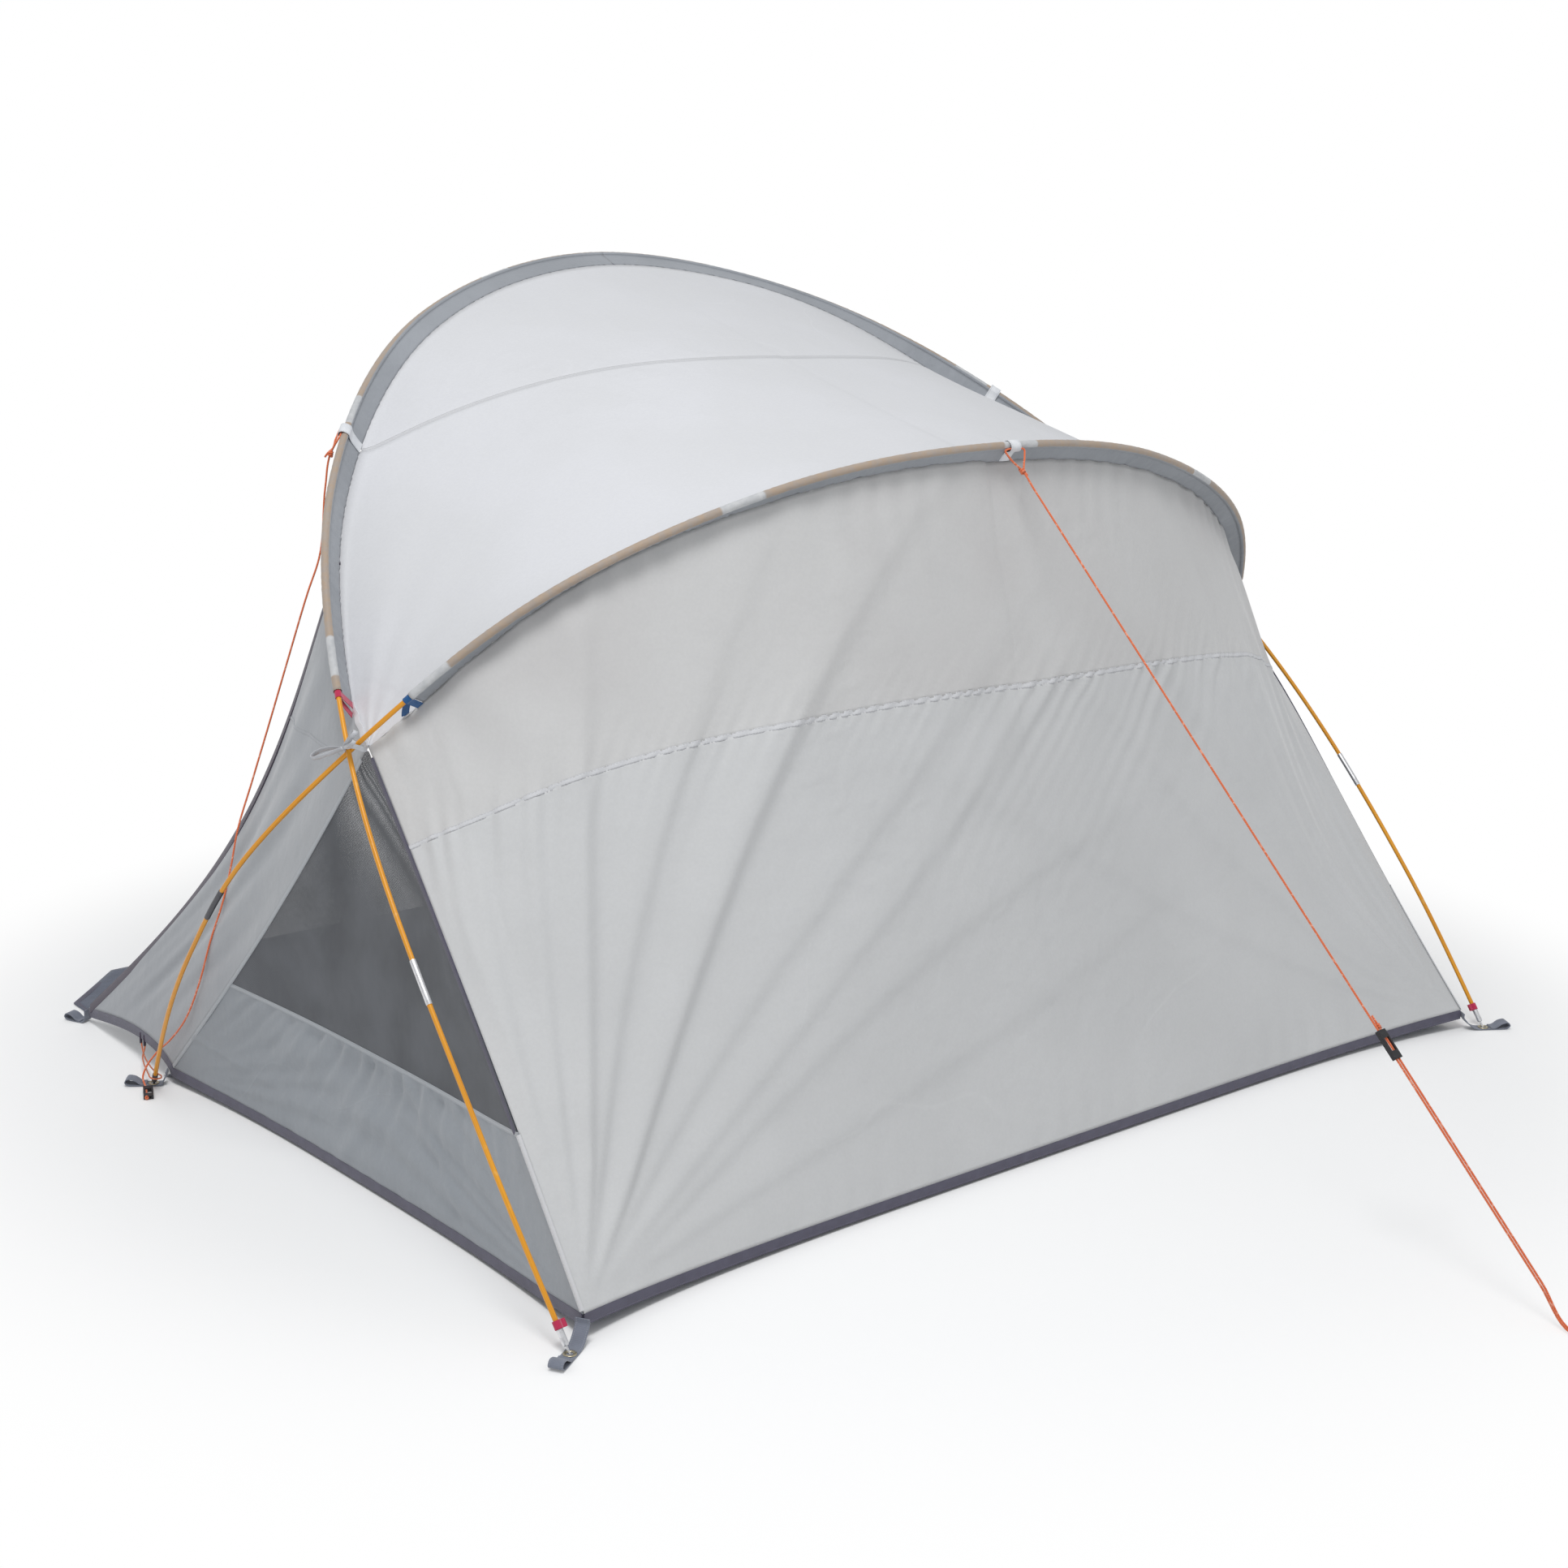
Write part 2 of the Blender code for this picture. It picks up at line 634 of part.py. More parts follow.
def cord(name, route, radius, finish):
    """A round cord along a smooth curve through its route."""
    line = smooth_line(route, CORD_STEPS)
    curve = bpy.data.curves.new(name, "CURVE")
    curve.dimensions = "3D"
    curve.bevel_depth = radius
    curve.bevel_resolution = 2
    curve.use_fill_caps = True
    spline = curve.splines.new("POLY")
    spline.points.add(len(line) - 1)
    for point, place in zip(spline.points, line):
        point.co = (*place, 1.0)
    made = bpy.data.objects.new(name, curve)
    bpy.context.collection.objects.link(made)
    curve.materials.append(finish)
    return made


# Poles
def pole_end(arch):
    """Length from the crown at which the fibreglass ends inside its tip."""
    return arch.half_length - PIN_LENGTH - TIP_FLOOR


def ferrule_outline(start, joint):
    """From the bore at a segment's start, out over the ferrule at its joint and back outside."""
    half = FERRULE_LENGTH / 2
    return [(start, POLE_BORE), (joint, POLE_BORE), (joint, SOCKET_RADIUS),
            (joint + half, SOCKET_RADIUS), (joint + half, FERRULE_RADIUS),
            (joint - half, FERRULE_RADIUS), (joint - half, POLE_RADIUS)]


def tip_outline(arch):
    """From the pole's outside over the metal tip to the end of its pin, for the +X end."""
    mouth = arch.half_length - PIN_LENGTH - TIP_SOCKET
    shoulder = arch.half_length - PIN_LENGTH
    return [(mouth, POLE_RADIUS), (mouth, TIP_RADIUS), (shoulder, TIP_RADIUS),
            (shoulder, PIN_RADIUS), (arch.half_length - PIN_POINT, PIN_RADIUS),
            (arch.half_length - PIN_CLEARANCE, PIN_RADIUS / 2)]


def build_pole_segments(arch, name, finish):
    """Each segment carries the ferrule that the next one plugs into; the end ones have a tip."""
    joints = arch.joints
    count = len(joints) + 1
    for k in range(count):
        start = -pole_end(arch) if k == 0 else joints[k - 1] + JOINT_GAP
        if k < count - 1:
            outline = ferrule_outline(start, joints[k])
        else:
            outline = [(pole_end(arch), POLE_BORE), (start, POLE_BORE), (start, POLE_RADIUS)]
            outline += tip_outline(arch)
        if k == 0:
            outline += [(-s, radius) for s, radius in tip_outline(arch)]
        elif k < count - 1:
            outline.append((start, POLE_RADIUS))
        solid = Solid()
        arch.turned(solid, outline, closed=0 < k < count - 1)
        solid.build(f"{name}_pole_segment_{k + 1}", finish, smooth=True)


def build_shock_cord(arch, name, finish):
    """The elastic that strings a pole's segments together, from tip to tip."""
    reach = pole_end(arch) - JOINT_GAP
    solid = Solid()
    arch.turned(solid, [(-reach, SHOCK_CORD_RADIUS), (reach, SHOCK_CORD_RADIUS)], closed=False)
    solid.build(f"{name}_shock_cord", finish, smooth=True)


# Sleeves
def sleeve_section(arch, s):
    """Centre of a sleeve's section, the direction and depth of its flange, and the side."""
    along, inward, across = arch.frame(s)
    reach = min(abs(s), sleeve_end_of(arch))
    tail = flange_depth(arch, reach, sleeve_end_of(arch)) * inward + flange_drift(arch, reach) * across
    return arch.point(s), unit(tail), float(np.linalg.norm(tail)), unit(np.cross(along, tail)), along


def sleeve_rings(arch, s):
    """One section of a sleeve: a round pocket whose two plies close into a flange."""
    centre, tail, depth, side, _ = sleeve_section(arch, s)
    angles = [FLANGE_ROOT + SLEEVE_STEP * k for k in range(TUBE_SIDES)]

    def around(radius):
        return [centre + radius * (math.cos(a) * tail + math.sin(a) * side) for a in angles]

    tip = centre + tail * (depth - SEAM_SETBACK)
    return around(SLEEVE_RADIUS), around(SLEEVE_BORE), [tip - side * CLOTH / 2, tip + side * CLOTH / 2]


def flange_half(a, depth):
    """Half the flange's thickness at a distance from the pole's middle."""
    root = SLEEVE_RADIUS * math.cos(FLANGE_ROOT)
    share = max(0.0, (a - root) / (depth - root))
    return SLEEVE_RADIUS * math.sin(FLANGE_ROOT) * (1 - share) + CLOTH / 2 * share


STRAPS = {"front_sleeve_left": [FRONT_STRAP_S], "front_sleeve_right": [-FRONT_STRAP_S],
          "rear_sleeve": [REAR_STRAP_S]}


def sleeve_end_of(arch):
    return REAR_SLEEVE_END if arch is REAR else FRONT_SLEEVE_END


def build_sleeve(arch, name, start, end, finish):
    """The pocket and flange as one closed skin: outer ring, bore and flange edge."""
    near = WEBBING_WIDTH / 2 + GAP
    strapped = [s + reach for s in STRAPS[name] for reach in (-near, near) if start < s + reach < end]
    places = sorted([*arch.between(start, end), *strapped])
    count = TUBE_SIDES
    size = 2 * count + 2
    points = []
    for s in places:
        outer, bore, edge = sleeve_rings(arch, s)
        points += outer + bore + edge
    faces = []
    first, last = 0, count - 1
    for row in range(len(places) - 1):
        a = row * size
        b = a + size
        for k in range(count):
            n = (k + 1) % count
            faces.append([a + count + k, a + count + n, b + count + n, b + count + k])
            if k != last:
                faces.append([a + k, a + n, b + n, b + k])
        for root, tip in ((last, 2 * count), (first, 2 * count + 1)):
            faces.append([a + root, a + tip, b + tip])
            faces.append([a + root, b + tip, b + root])
        faces.append([a + 2 * count, a + 2 * count + 1, b + 2 * count + 1, b + 2 * count])
    for row in (0, len(places) - 1):
        a = row * size
        for k in range(count):
            n = (k + 1) % count
            faces.append([a + k, a + n, a + count + n, a + count + k])
        faces.append([a + last, a + 2 * count, a + 2 * count + 1, a + first])
    solid = Solid()
    solid.add(points, faces)
    solid.build(name, finish)


# Canopy panels
def canopy_trim():
    """Share of the seams left off at the tied corners, where the plies are gathered."""
    return CORNER_TRIM / (2 * REAR_REACH)


def build_roof(finish):
    """Two panels: a lens between the straps of the front arch, and the rest behind it."""
    lens = FRONT_STRAP_S / FRONT_REACH
    low = (1 - lens) / 2
    depth = float(np.linalg.norm(front_seam(0.5) - rear_seam(0.5)))

    def seam(share):
        return max(0.0, ROOF_SEAM_REACH * (1 - (abs(2 * share - 1) / lens) ** 2))

    def edge(share):
        here = float(np.linalg.norm(front_seam(share) - rear_seam(share)))
        return min(0.3, SEAM_SETBACK / here)

    middle = np.linspace(low, 1 - low, LENS_COLUMNS + 1)
    trim = canopy_trim()
    end = np.linspace(trim, low, CORNER_COLUMNS + 1)[:-1]
    solid = Solid()
    solid.sheet(grid_of(roof, middle[1:-1], LENS_ROWS, edge, lambda a: seam(a) - BUTT_GAP / depth), CLOTH)
    solid.build("roof_front_panel", finish)
    solid = Solid()
    shares = [*end, *middle, *(1 - end[::-1])]
    solid.sheet(grid_of(roof, shares, ROOF_ROWS, lambda a: max(edge(a), seam(a) + BUTT_GAP / depth),
                        lambda a: 1 - edge(a)), CLOTH)
    solid.build("roof_rear_panel", finish)


def wall_shares():
    trim = canopy_trim()
    return np.linspace(trim, 1 - trim, 4 * FOLD_COUNT + 1)


def build_rear_wall(finish):
    """Upper and lower panel on each side of the gathered middle seam."""
    height = float(np.linalg.norm(rear_seam(0.5) - rear_hem(0.5)))
    gap = BUTT_GAP / height
    solid = Solid()
    solid.sheet(grid_of(rear_wall, wall_shares(), UPPER_WALL_ROWS, SEAM_SETBACK / height,
                        lambda a: wall_seam(a) - gap), CLOTH)
    solid.build("rear_wall_upper", finish)
    solid = Solid()
    solid.sheet(grid_of(rear_wall, wall_shares(), LOWER_WALL_ROWS, lambda a: wall_seam(a) + gap,
                        1 - HEM_GAP / height), CLOTH)
    solid.build("rear_wall_lower", finish)


def build_sides(window_finish, band_finish):
    """Mesh window above, cloth band below, on both sides."""
    height = float(np.linalg.norm(VERTEX - side_hem(0.5)))
    hem = float(np.linalg.norm(side_hem(1.0) - side_hem(0.0)))

    def surface(down, across):
        trim = (SEAM_SETBACK + CLOTH / 2) / (hem * down)
        return side_panel(trim + (1 - 2 * trim) * across, down)

    window = np.linspace(2 * CORNER_TRIM / height, WINDOW_SILL - BUTT_GAP / height, WINDOW_ROWS + 1)
    band = np.linspace(WINDOW_SILL + BUTT_GAP / height, 1 - HEM_GAP / height, BAND_ROWS + 1)
    for label, side in sides():
        solid = Solid()
        solid.sheet(flipped(grid_of(surface, window, SIDE_COLUMNS), side), CLOTH)
        solid.build(f"mesh_window_{label}", window_finish)
        solid = Solid()
        solid.sheet(flipped(grid_of(surface, band, SIDE_COLUMNS), side), CLOTH)
        solid.build(f"side_band_{label}", band_finish)


def wing_width(down):
    return float(np.linalg.norm(wing(1.0, down) - wing(0.0, down)))


def build_wings(finish, binding_finish):
    """Wing panels and the bindings of their front edges."""
    height = float(np.linalg.norm(wing_edge(0.0) - wing_edge(1.0)))
    top = WING_SETBACK / height
    bottom = 1 - 2 * HEM_GAP / height

    def surface(down, forward):
        width = wing_width(down)
        start = SEAM_SETBACK / width
        end = 1 - (BINDING_WIDTH + GAP) / width
        return wing(start + (end - start) * forward, down)

    for label, side in sides():
        solid = Solid()
        rows = np.linspace(top, bottom, WING_ROWS + 1)
        solid.sheet(flipped(grid_of(surface, rows, WING_COLUMNS), side), CLOTH)
        solid.build(f"wing_{label}", finish)
        edge = []
        for down in rows:
            inner = 1 - BINDING_WIDTH / wing_width(down)
            edge.append([wing(inner, down), wing(1.0, down)])
        solid = Solid()
        solid.sheet(flipped(np.array(edge), side), BINDING_THICK)
        solid.build(f"wing_front_binding_{label}", binding_finish)


def build_bindings(finish):
    """Upright bindings along the hems: one across the rear, one down each side."""
    upright = np.array([0.0, 0.0, 1.0])
    corner = 1.5 * BINDING_THICK
    half = BINDING_WIDTH / 2
    solid = Solid()
    path = [rear_hem(a, half) for a in (0.0, *wall_shares(), 1.0)]
    ribbon(solid, path, upright, BINDING_WIDTH, BINDING_THICK)
    solid.build("rear_hem_binding", finish)
    trim = corner / float(np.linalg.norm(side_hem(1.0) - side_hem(0.0)))
    for label, side in sides():
        path = [side_hem(a, half) for a in [1 - trim, *np.linspace(1.0, 0.0, SIDE_COLUMNS + 1)[1:]]]
        path += [wing_hem(a, half) for a in np.linspace(0.0, 1.0, WING_COLUMNS + 1)[1:]]
        solid = Solid()
        ribbon(solid, flipped(np.array(path), side), upright, BINDING_WIDTH, BINDING_THICK)
        solid.build(f"side_hem_binding_{label}", finish)


# Groundsheet
def floor_edge(inset):
    """The floor's outline inside the bindings, with the height of its rim, round from -Y."""
    corner = np.array([REAR_CORNER[0] - inset, REAR_CORNER[1] - inset])
    edge = [(FLAP_SEAM_HALF_WIDTH, FLAP_SEAM_Y + BUTT_GAP, 0.0)]
    for a in np.linspace(0.0, 1.0, SIDE_COLUMNS + 1)[1:-1]:
        x, y, lift = side_hem(a, FLOOR_RIM)
        edge.append((x - inset, min(y, corner[1]), lift))
    edge.append((*corner, REAR_CORNER_LIFT + FLOOR_RIM))
    for a in wall_shares()[:2 * FOLD_COUNT + 1]:
        x, y, lift = rear_hem(a, FLOOR_RIM)
        edge.append((x * corner[0] / REAR_CORNER[0], y - inset, lift))
    other = [(-x, y, lift) for x, y, lift in edge[:-1]]
    return edge + other[::-1]


def build_groundsheet(finish):
    """A flat floor whose rim turns up to the hems, as a shallow tray."""
    rim = floor_edge(BINDING_THICK / 2 + FLOOR_GAP)
    floor = floor_edge(BINDING_THICK / 2 + FLOOR_GAP + FLOOR_TURN)
    count = len(rim)
    points = [(x, y, 0.0) for x, y, _ in floor] + [(x, y, GROUND_CLOTH) for x, y, _ in floor]
    points += rim + [(x, y, lift + GROUND_CLOTH) for x, y, lift in rim]
    faces = [list(range(count)), list(range(count, 2 * count))]
    for k in range(count):
        n = (k + 1) % count
        for flat in (0, count):
            turned = flat + 2 * count
            faces.append([flat + k, flat + n, turned + n])
            faces.append([flat + k, turned + n, turned + k])
        faces.append([2 * count + k, 2 * count + n, 3 * count + n, 3 * count + k])
    solid = Solid()
    solid.add(points, faces)
    solid.build("groundsheet", finish)


def build_front_flap(finish):
    """A flap that lies in front of the floor and folds up about its seam."""
    side = [(FLAP_SEAM_HALF_WIDTH, 0.0), (FLAP_WAIST_HALF_WIDTH + 0.015, FLAP_DEPTH * 0.225),
            (FLAP_WAIST_HALF_WIDTH, FLAP_DEPTH * 0.506), (FLAP_WAIST_HALF_WIDTH + 0.025, FLAP_DEPTH * 0.58),
            (FLAP_EAR_HALF_WIDTH, FLAP_DEPTH * 0.675), (FLAP_EAR_HALF_WIDTH, FLAP_DEPTH - FLAP_CHAMFER),
            (FLAP_EAR_HALF_WIDTH - FLAP_CHAMFER, FLAP_DEPTH)]
    outline = [(x, -0.0002 - out) for x, out in side] + [(-x, -0.0002 - out) for x, out in side[::-1]]
    solid = Solid()
    solid.slab(outline, -GROUND_CLOTH, 0.0)
    flap = solid.build("front_flap", finish)
    flap.location = (0.0, FLAP_SEAM_Y, GROUND_CLOTH)


# Corner webbing, eyelets and peg loops
STRAP_LEVEL = EYELET_LIP + WEBBING_THICK / 2
EYELET_HEIGHT = 2 * EYELET_LIP + WEBBING_THICK


def helper(solid, name, finish):
    """A hidden tool for a Boolean."""
    made = solid.build(name, finish)
    made.hide_render = True
    made.display_type = "WIRE"
    return made


def combine(base, tool, operation):
    change = base.modifiers.new(tool.name, "BOOLEAN")
    change.operation = operation
    change.object = tool


def disc(radius, low, high, centre, corners=EYELET_SIDES):
    """An upright round plate."""
    angles = [2 * math.pi * (k + 0.5) / corners for k in range(corners)]
    solid = Solid()
    solid.slab([(centre[0] + radius * math.cos(a), centre[1] + radius * math.sin(a)) for a in angles],
               low, high)
    return solid


def eyelet_centre(arch, side):
    """Where the pole's pin passes the level of the webbing."""
    foot = arch.point(side * arch.half_length)
    up = unit(arch.point(side * (arch.half_length - PIN_LENGTH)) - foot)
    return foot + up * (STRAP_LEVEL / up[2])


def peg_loop(start):
    """Side view of a webbing loop: out along the ground, round, and back above, sewn down."""
    level = STRAP_LEVEL
    sewn = level + WEBBING_THICK + GAP
    return [(start, level), (start + PEG_LOOP_LENGTH * 0.6, level),
            (start + PEG_LOOP_LENGTH * 0.9, level + 0.0014),
            (start + PEG_LOOP_LENGTH, level + PEG_LOOP_RISE / 2),
            (start + PEG_LOOP_LENGTH * 0.92, level + PEG_LOOP_RISE),
            (start + PEG_LOOP_LENGTH * 0.6, level + PEG_LOOP_RISE * 0.95),
            (start + PEG_LOOP_LENGTH * 0.22, sewn), (start + PEG_LOOP_LENGTH * 0.03, sewn)]


def build_corner_webbing(name, arch, side, corner, skew, finish):
    """Webbing from a corner of the canopy down through its eyelet and on into a peg loop.

    Skew is the sine of the angle at which it leaves the hem.
    """
    centre = eyelet_centre(arch, side)
    flat = np.array([centre[0] - corner[0], centre[1] - corner[1], 0.0])
    reach = float(np.linalg.norm(flat))
    out = flat / reach
    origin = np.array([centre[0], centre[1], 0.0])
    near = (BINDING_THICK + WEBBING_THICK + skew * WEBBING_WIDTH) / 2
    profile = [(near - reach, corner[2] + BINDING_WIDTH * 0.7), (near - reach, corner[2] + 0.004),
               (near - reach + 0.003, corner[2]), (-EYELET_FLANGE - 0.004, STRAP_LEVEL + 0.0004),
               (-EYELET_FLANGE, STRAP_LEVEL)]
    profile += peg_loop(EYELET_FLANGE + 0.001)
    across = np.cross(np.array([0.0, 0.0, 1.0]), out)
    strap = Solid()
    ribbon(strap, [origin + out * a + np.array([0.0, 0.0, b]) for a, b in profile], across,
           WEBBING_WIDTH, WEBBING_THICK)
    made = strap.build(name, finish)
    ring = helper(disc(EYELET_FLANGE, 0.0, EYELET_HEIGHT, centre), f"{name}_eyelet", finish)
    bore = helper(disc(EYELET_BORE, -0.01, 0.01, centre), f"{name}_bore", finish)
    combine(made, ring, "UNION")
    combine(made, bore, "DIFFERENCE")


def build_wing_peg_loops(finish):
    for label, side in sides():
        start = np.array([side * WING_CORNER[0], WING_CORNER[1], 0.0])
        out = unit((side * 0.45, -0.89, 0.0))
        near = BINDING_THICK / 2 + HEM_GAP + WEBBING_THICK / 2
        low = WING_CORNER_LIFT + 0.004
        profile = [(near, low + BINDING_WIDTH * 0.6), (near, low), (near + 0.006, STRAP_LEVEL + 0.0004)]
        profile += peg_loop(near + 0.010)
        path = [start + out * a + np.array([0.0, 0.0, b]) for a, b in profile]
        solid = Solid()
        ribbon(solid, path, np.cross((0.0, 0.0, 1.0), out), WEBBING_WIDTH, WEBBING_THICK)
        solid.build(f"wing_peg_loop_{label}", finish)


# Straps and ribbons on the poles
def beside_sleeve(arch, s):
    """Places in a section of a sleeve: out along its flange, off to a side and along the pole."""
    centre, tail, depth, side, along = sleeve_section(arch, s)

    def place(a, b, shift=0.0):
        return centre + tail * a + side * b + along * shift

    def face(a):
        return flange_half(a, depth) + GAP + RIBBON_THICK / 2 + GAP / 2

    return place, face, depth, along


def around_pole(place, radius_at, step):
    """A ribbon's path round a pole, from one face of the flange to the other."""
    turns = range(STRAP_START, 360 - STRAP_START + 1, step)
    path = []
    for turn in turns:
        angle = math.radians(turn)
        radius = radius_at(angle) / math.cos(math.radians(step / 2))
        path.append(place(radius * math.cos(angle), radius * math.sin(angle)))
    return path


def build_guy_strap(name, arch, s, cord_angle, finish):
    """A strap over both faces of the flange and round the sleeve, slack where a guy passes."""
    place, face, depth, along = beside_sleeve(arch, s)
    snug = SLEEVE_RADIUS + GAP + RIBBON_THICK / 2
    slack = 2 * GUY_RADIUS + GAP

    def radius_at(angle):
        return snug + slack * max(0.0, math.cos(angle - math.radians(cord_angle))) ** 2

    bend = 1.45 * snug
    end = depth - 0.002
    path = [place(end, face(end)), place(depth / 2, face(depth / 2)), place(bend, face(bend) * 1.15)]
    path += around_pole(place, radius_at, 20)
    path += [place(bend, -face(bend) * 1.15), place(depth / 2, -face(depth / 2)), place(end, -face(end))]
    solid = Solid()
    ribbon(solid, path, along, WEBBING_WIDTH, RIBBON_THICK)
    solid.build(name, finish)


def build_pole_loops(name, arch, finish):
    """A ribbon at each end of a sleeve: round the pole, and back to the flange's corner."""
    end = sleeve_end_of(arch)
    radius = POLE_RADIUS + GAP + RIBBON_THICK / 2
    for label, side in sides():
        place, face, depth, along = beside_sleeve(arch, side * (end + RIBBON_WIDTH / 2 + GAP))
        tip = depth * 0.78
        middle = depth * 0.45
        path = [place(tip, face(tip)), place(middle, face(middle)), place(radius * 1.5, face(radius * 1.5))]
        path += around_pole(place, lambda angle: radius, 40)
        fall = side * LOOP_TAIL_FALL
        path += [place(radius * 1.5, -face(radius * 1.5), fall * 0.1), place(middle, -face(middle), fall * 0.5),
                 place(tip, -face(tip), fall)]
        solid = Solid()
        ribbon(solid, path, along, RIBBON_WIDTH, RIBBON_THICK)
        solid.build(f"{name}_{label}", finish)


def build_crossing_ties(finish):
    """A ribbon from the canopy's corner round both poles, tied outside in a bow."""
    upright = np.array([0.0, 0.0, 1.0])
    for label, side in sides():
        centre = mirrored(CROSS, side)
        out = np.array([side, 0.0, 0.0])
        band = Solid()
        rings = []
        for turn in range(0, 360, 30):
            angle = math.radians(turn)
            offset = out * TIE_LENGTH * math.cos(angle) + np.array([0.0, TIE_HALF_WIDTH, 0.0]) * math.sin(angle)
            middle = centre - out * TIE_CENTRE + offset
            rings.append([middle + upright * TIE_BAND / 2 * b + unit(offset) * RIBBON_THICK / 2 * a
                          for a, b in ((-1, -1), (1, -1), (1, 1), (-1, 1))])
        band.band(rings)
        tie = band.build(f"crossing_tie_{label}", finish)
        knot = centre + out * (TIE_LENGTH - TIE_CENTRE + TIE_KNOT)
        lump = Solid()
        lump.sweep([[knot + TIE_KNOT * np.array([a * out[0], b, c]) for b, c in
                     ((-1, -1), (1, -1), (1, 1), (-1, 1))] for a in (-1, 0.8)])
        combine(tie, helper(lump, f"{tie.name}_knot", finish), "UNION")
        for number, (direction, length) in enumerate(BOWS):
            wide = unit(mirrored(direction, side))
            high = unit(np.cross(wide, np.cross(upright, wide)))
            rings = []
            for turn in range(-150, 180, 30):
                angle = math.radians(turn)
                reach = length * (1 + math.cos(angle)) / 2
                lift = BOW_HEIGHT * math.sin(angle) * reach / length
                rings.append(knot + wide * reach + high * lift)
            loop = Solid()
            ribbon(loop, rings, np.cross(wide, high), RIBBON_WIDTH * 0.5, RIBBON_THICK)
            combine(tie, helper(loop, f"{tie.name}_bow_{number}", finish), "UNION")


# Guy lines
def build_guys(line_finish, runner_finish):
    cord("rear_guy_line", REAR_GUY, GUY_RADIUS, line_finish)
    cord("front_guy_line", FRONT_GUY, GUY_RADIUS, line_finish)
    cord("wing_tie_cord", WING_TIE, TIE_CORD_RADIUS, line_finish)
    knot = np.array(REAR_GUY_KNOT)
    direction = unit(np.array(REAR_GUY_FOOT) - knot)
    beside = unit(np.cross((0.0, 0.0, 1.0), direction))
    runner = build_runner("rear_guy_runner", runner_finish)
    place_on_line(runner, knot + direction * RUNNER_DISTANCE + beside * GUY_SPACING / 2, direction)
    stopper = build_stopper("rear_guy_stopper", line_finish)
    back = RUNNER_DISTANCE - RUNNER_LENGTH / 2 - STOPPER_LENGTH / 2 - GAP
    place_on_line(stopper, knot + direction * back + beside * GUY_SPACING, direction)
    runner = build_runner("front_guy_runner", runner_finish)
    start, end = np.array(FRONT_RUNNER_LINE)
    beside = unit(np.cross((0.0, 0.0, 1.0), end - start))
    place_on_line(runner, (start + end) / 2 + beside * GUY_SPACING / 2, unit(end - start))


def place_on_line(made, centre, direction):
    """Local X along the line, local Y level, so that a plate faces up."""
    level = unit(np.cross((0.0, 0.0, 1.0), direction))
    up = np.cross(direction, level)
    turn = np.array([direction, level, up]).T
    rows = [[*turn[k], centre[k]] for k in range(3)] + [[0.0, 0.0, 0.0, 1.0]]
    made.matrix_world = Matrix(rows)


def block(size, centre=(0.0, 0.0, 0.0)):
    """A box with eased ends, by its full sizes."""
    half = np.array(size) / 2
    solid = Solid()
    solid.sweep([[np.array(centre) + np.array([x, half[1] * b, half[2] * c])
                  for b, c in ((-1, -1), (1, -1), (1, 1), (-1, 1))] for x in (-half[0], half[0])])
    return solid


def bored_block(name, size, bores, finish):
    """A moulded block with holes along its length for the cords."""
    made = block(size).build(name, finish)
    for number, (shift, radius) in enumerate(bores):
        tool = Solid()
        angles = [2 * math.pi * (k + 0.5) / TUBE_SIDES for k in range(TUBE_SIDES)]
        tool.sweep([[(x, shift + radius * math.cos(a), radius * math.sin(a)) for a in angles]
                    for x in (-size[0], size[0])])
        drill = helper(tool, f"{name}_bore_{number}", finish)
        drill.parent = made
        combine(made, drill, "DIFFERENCE")
    return made


def build_runner(name, finish):
    """A guy runner: both legs of the cord pass through it, and a slot shows them."""
    bore = GUY_RADIUS / math.cos(math.pi / TUBE_SIDES) + GAP
    made = bored_block(name, (RUNNER_LENGTH, RUNNER_WIDTH, RUNNER_THICK),
                       [(-GUY_SPACING / 2, bore), (GUY_SPACING / 2, bore)], finish)
    slot = helper(block((RUNNER_LENGTH * 0.45, RUNNER_WIDTH * 0.62, RUNNER_THICK * 2)),
                  f"{name}_slot", finish)
    slot.parent = made
    combine(made, slot, "DIFFERENCE")
    return made


def build_stopper(name, finish):
    """The knot that ends the cord's return leg above the runner."""
    bore = GUY_RADIUS / math.cos(math.pi / TUBE_SIDES) + GAP
    return bored_block(name, (STOPPER_LENGTH, STOPPER_WIDTH, STOPPER_WIDTH), [(0.0, bore)], finish)


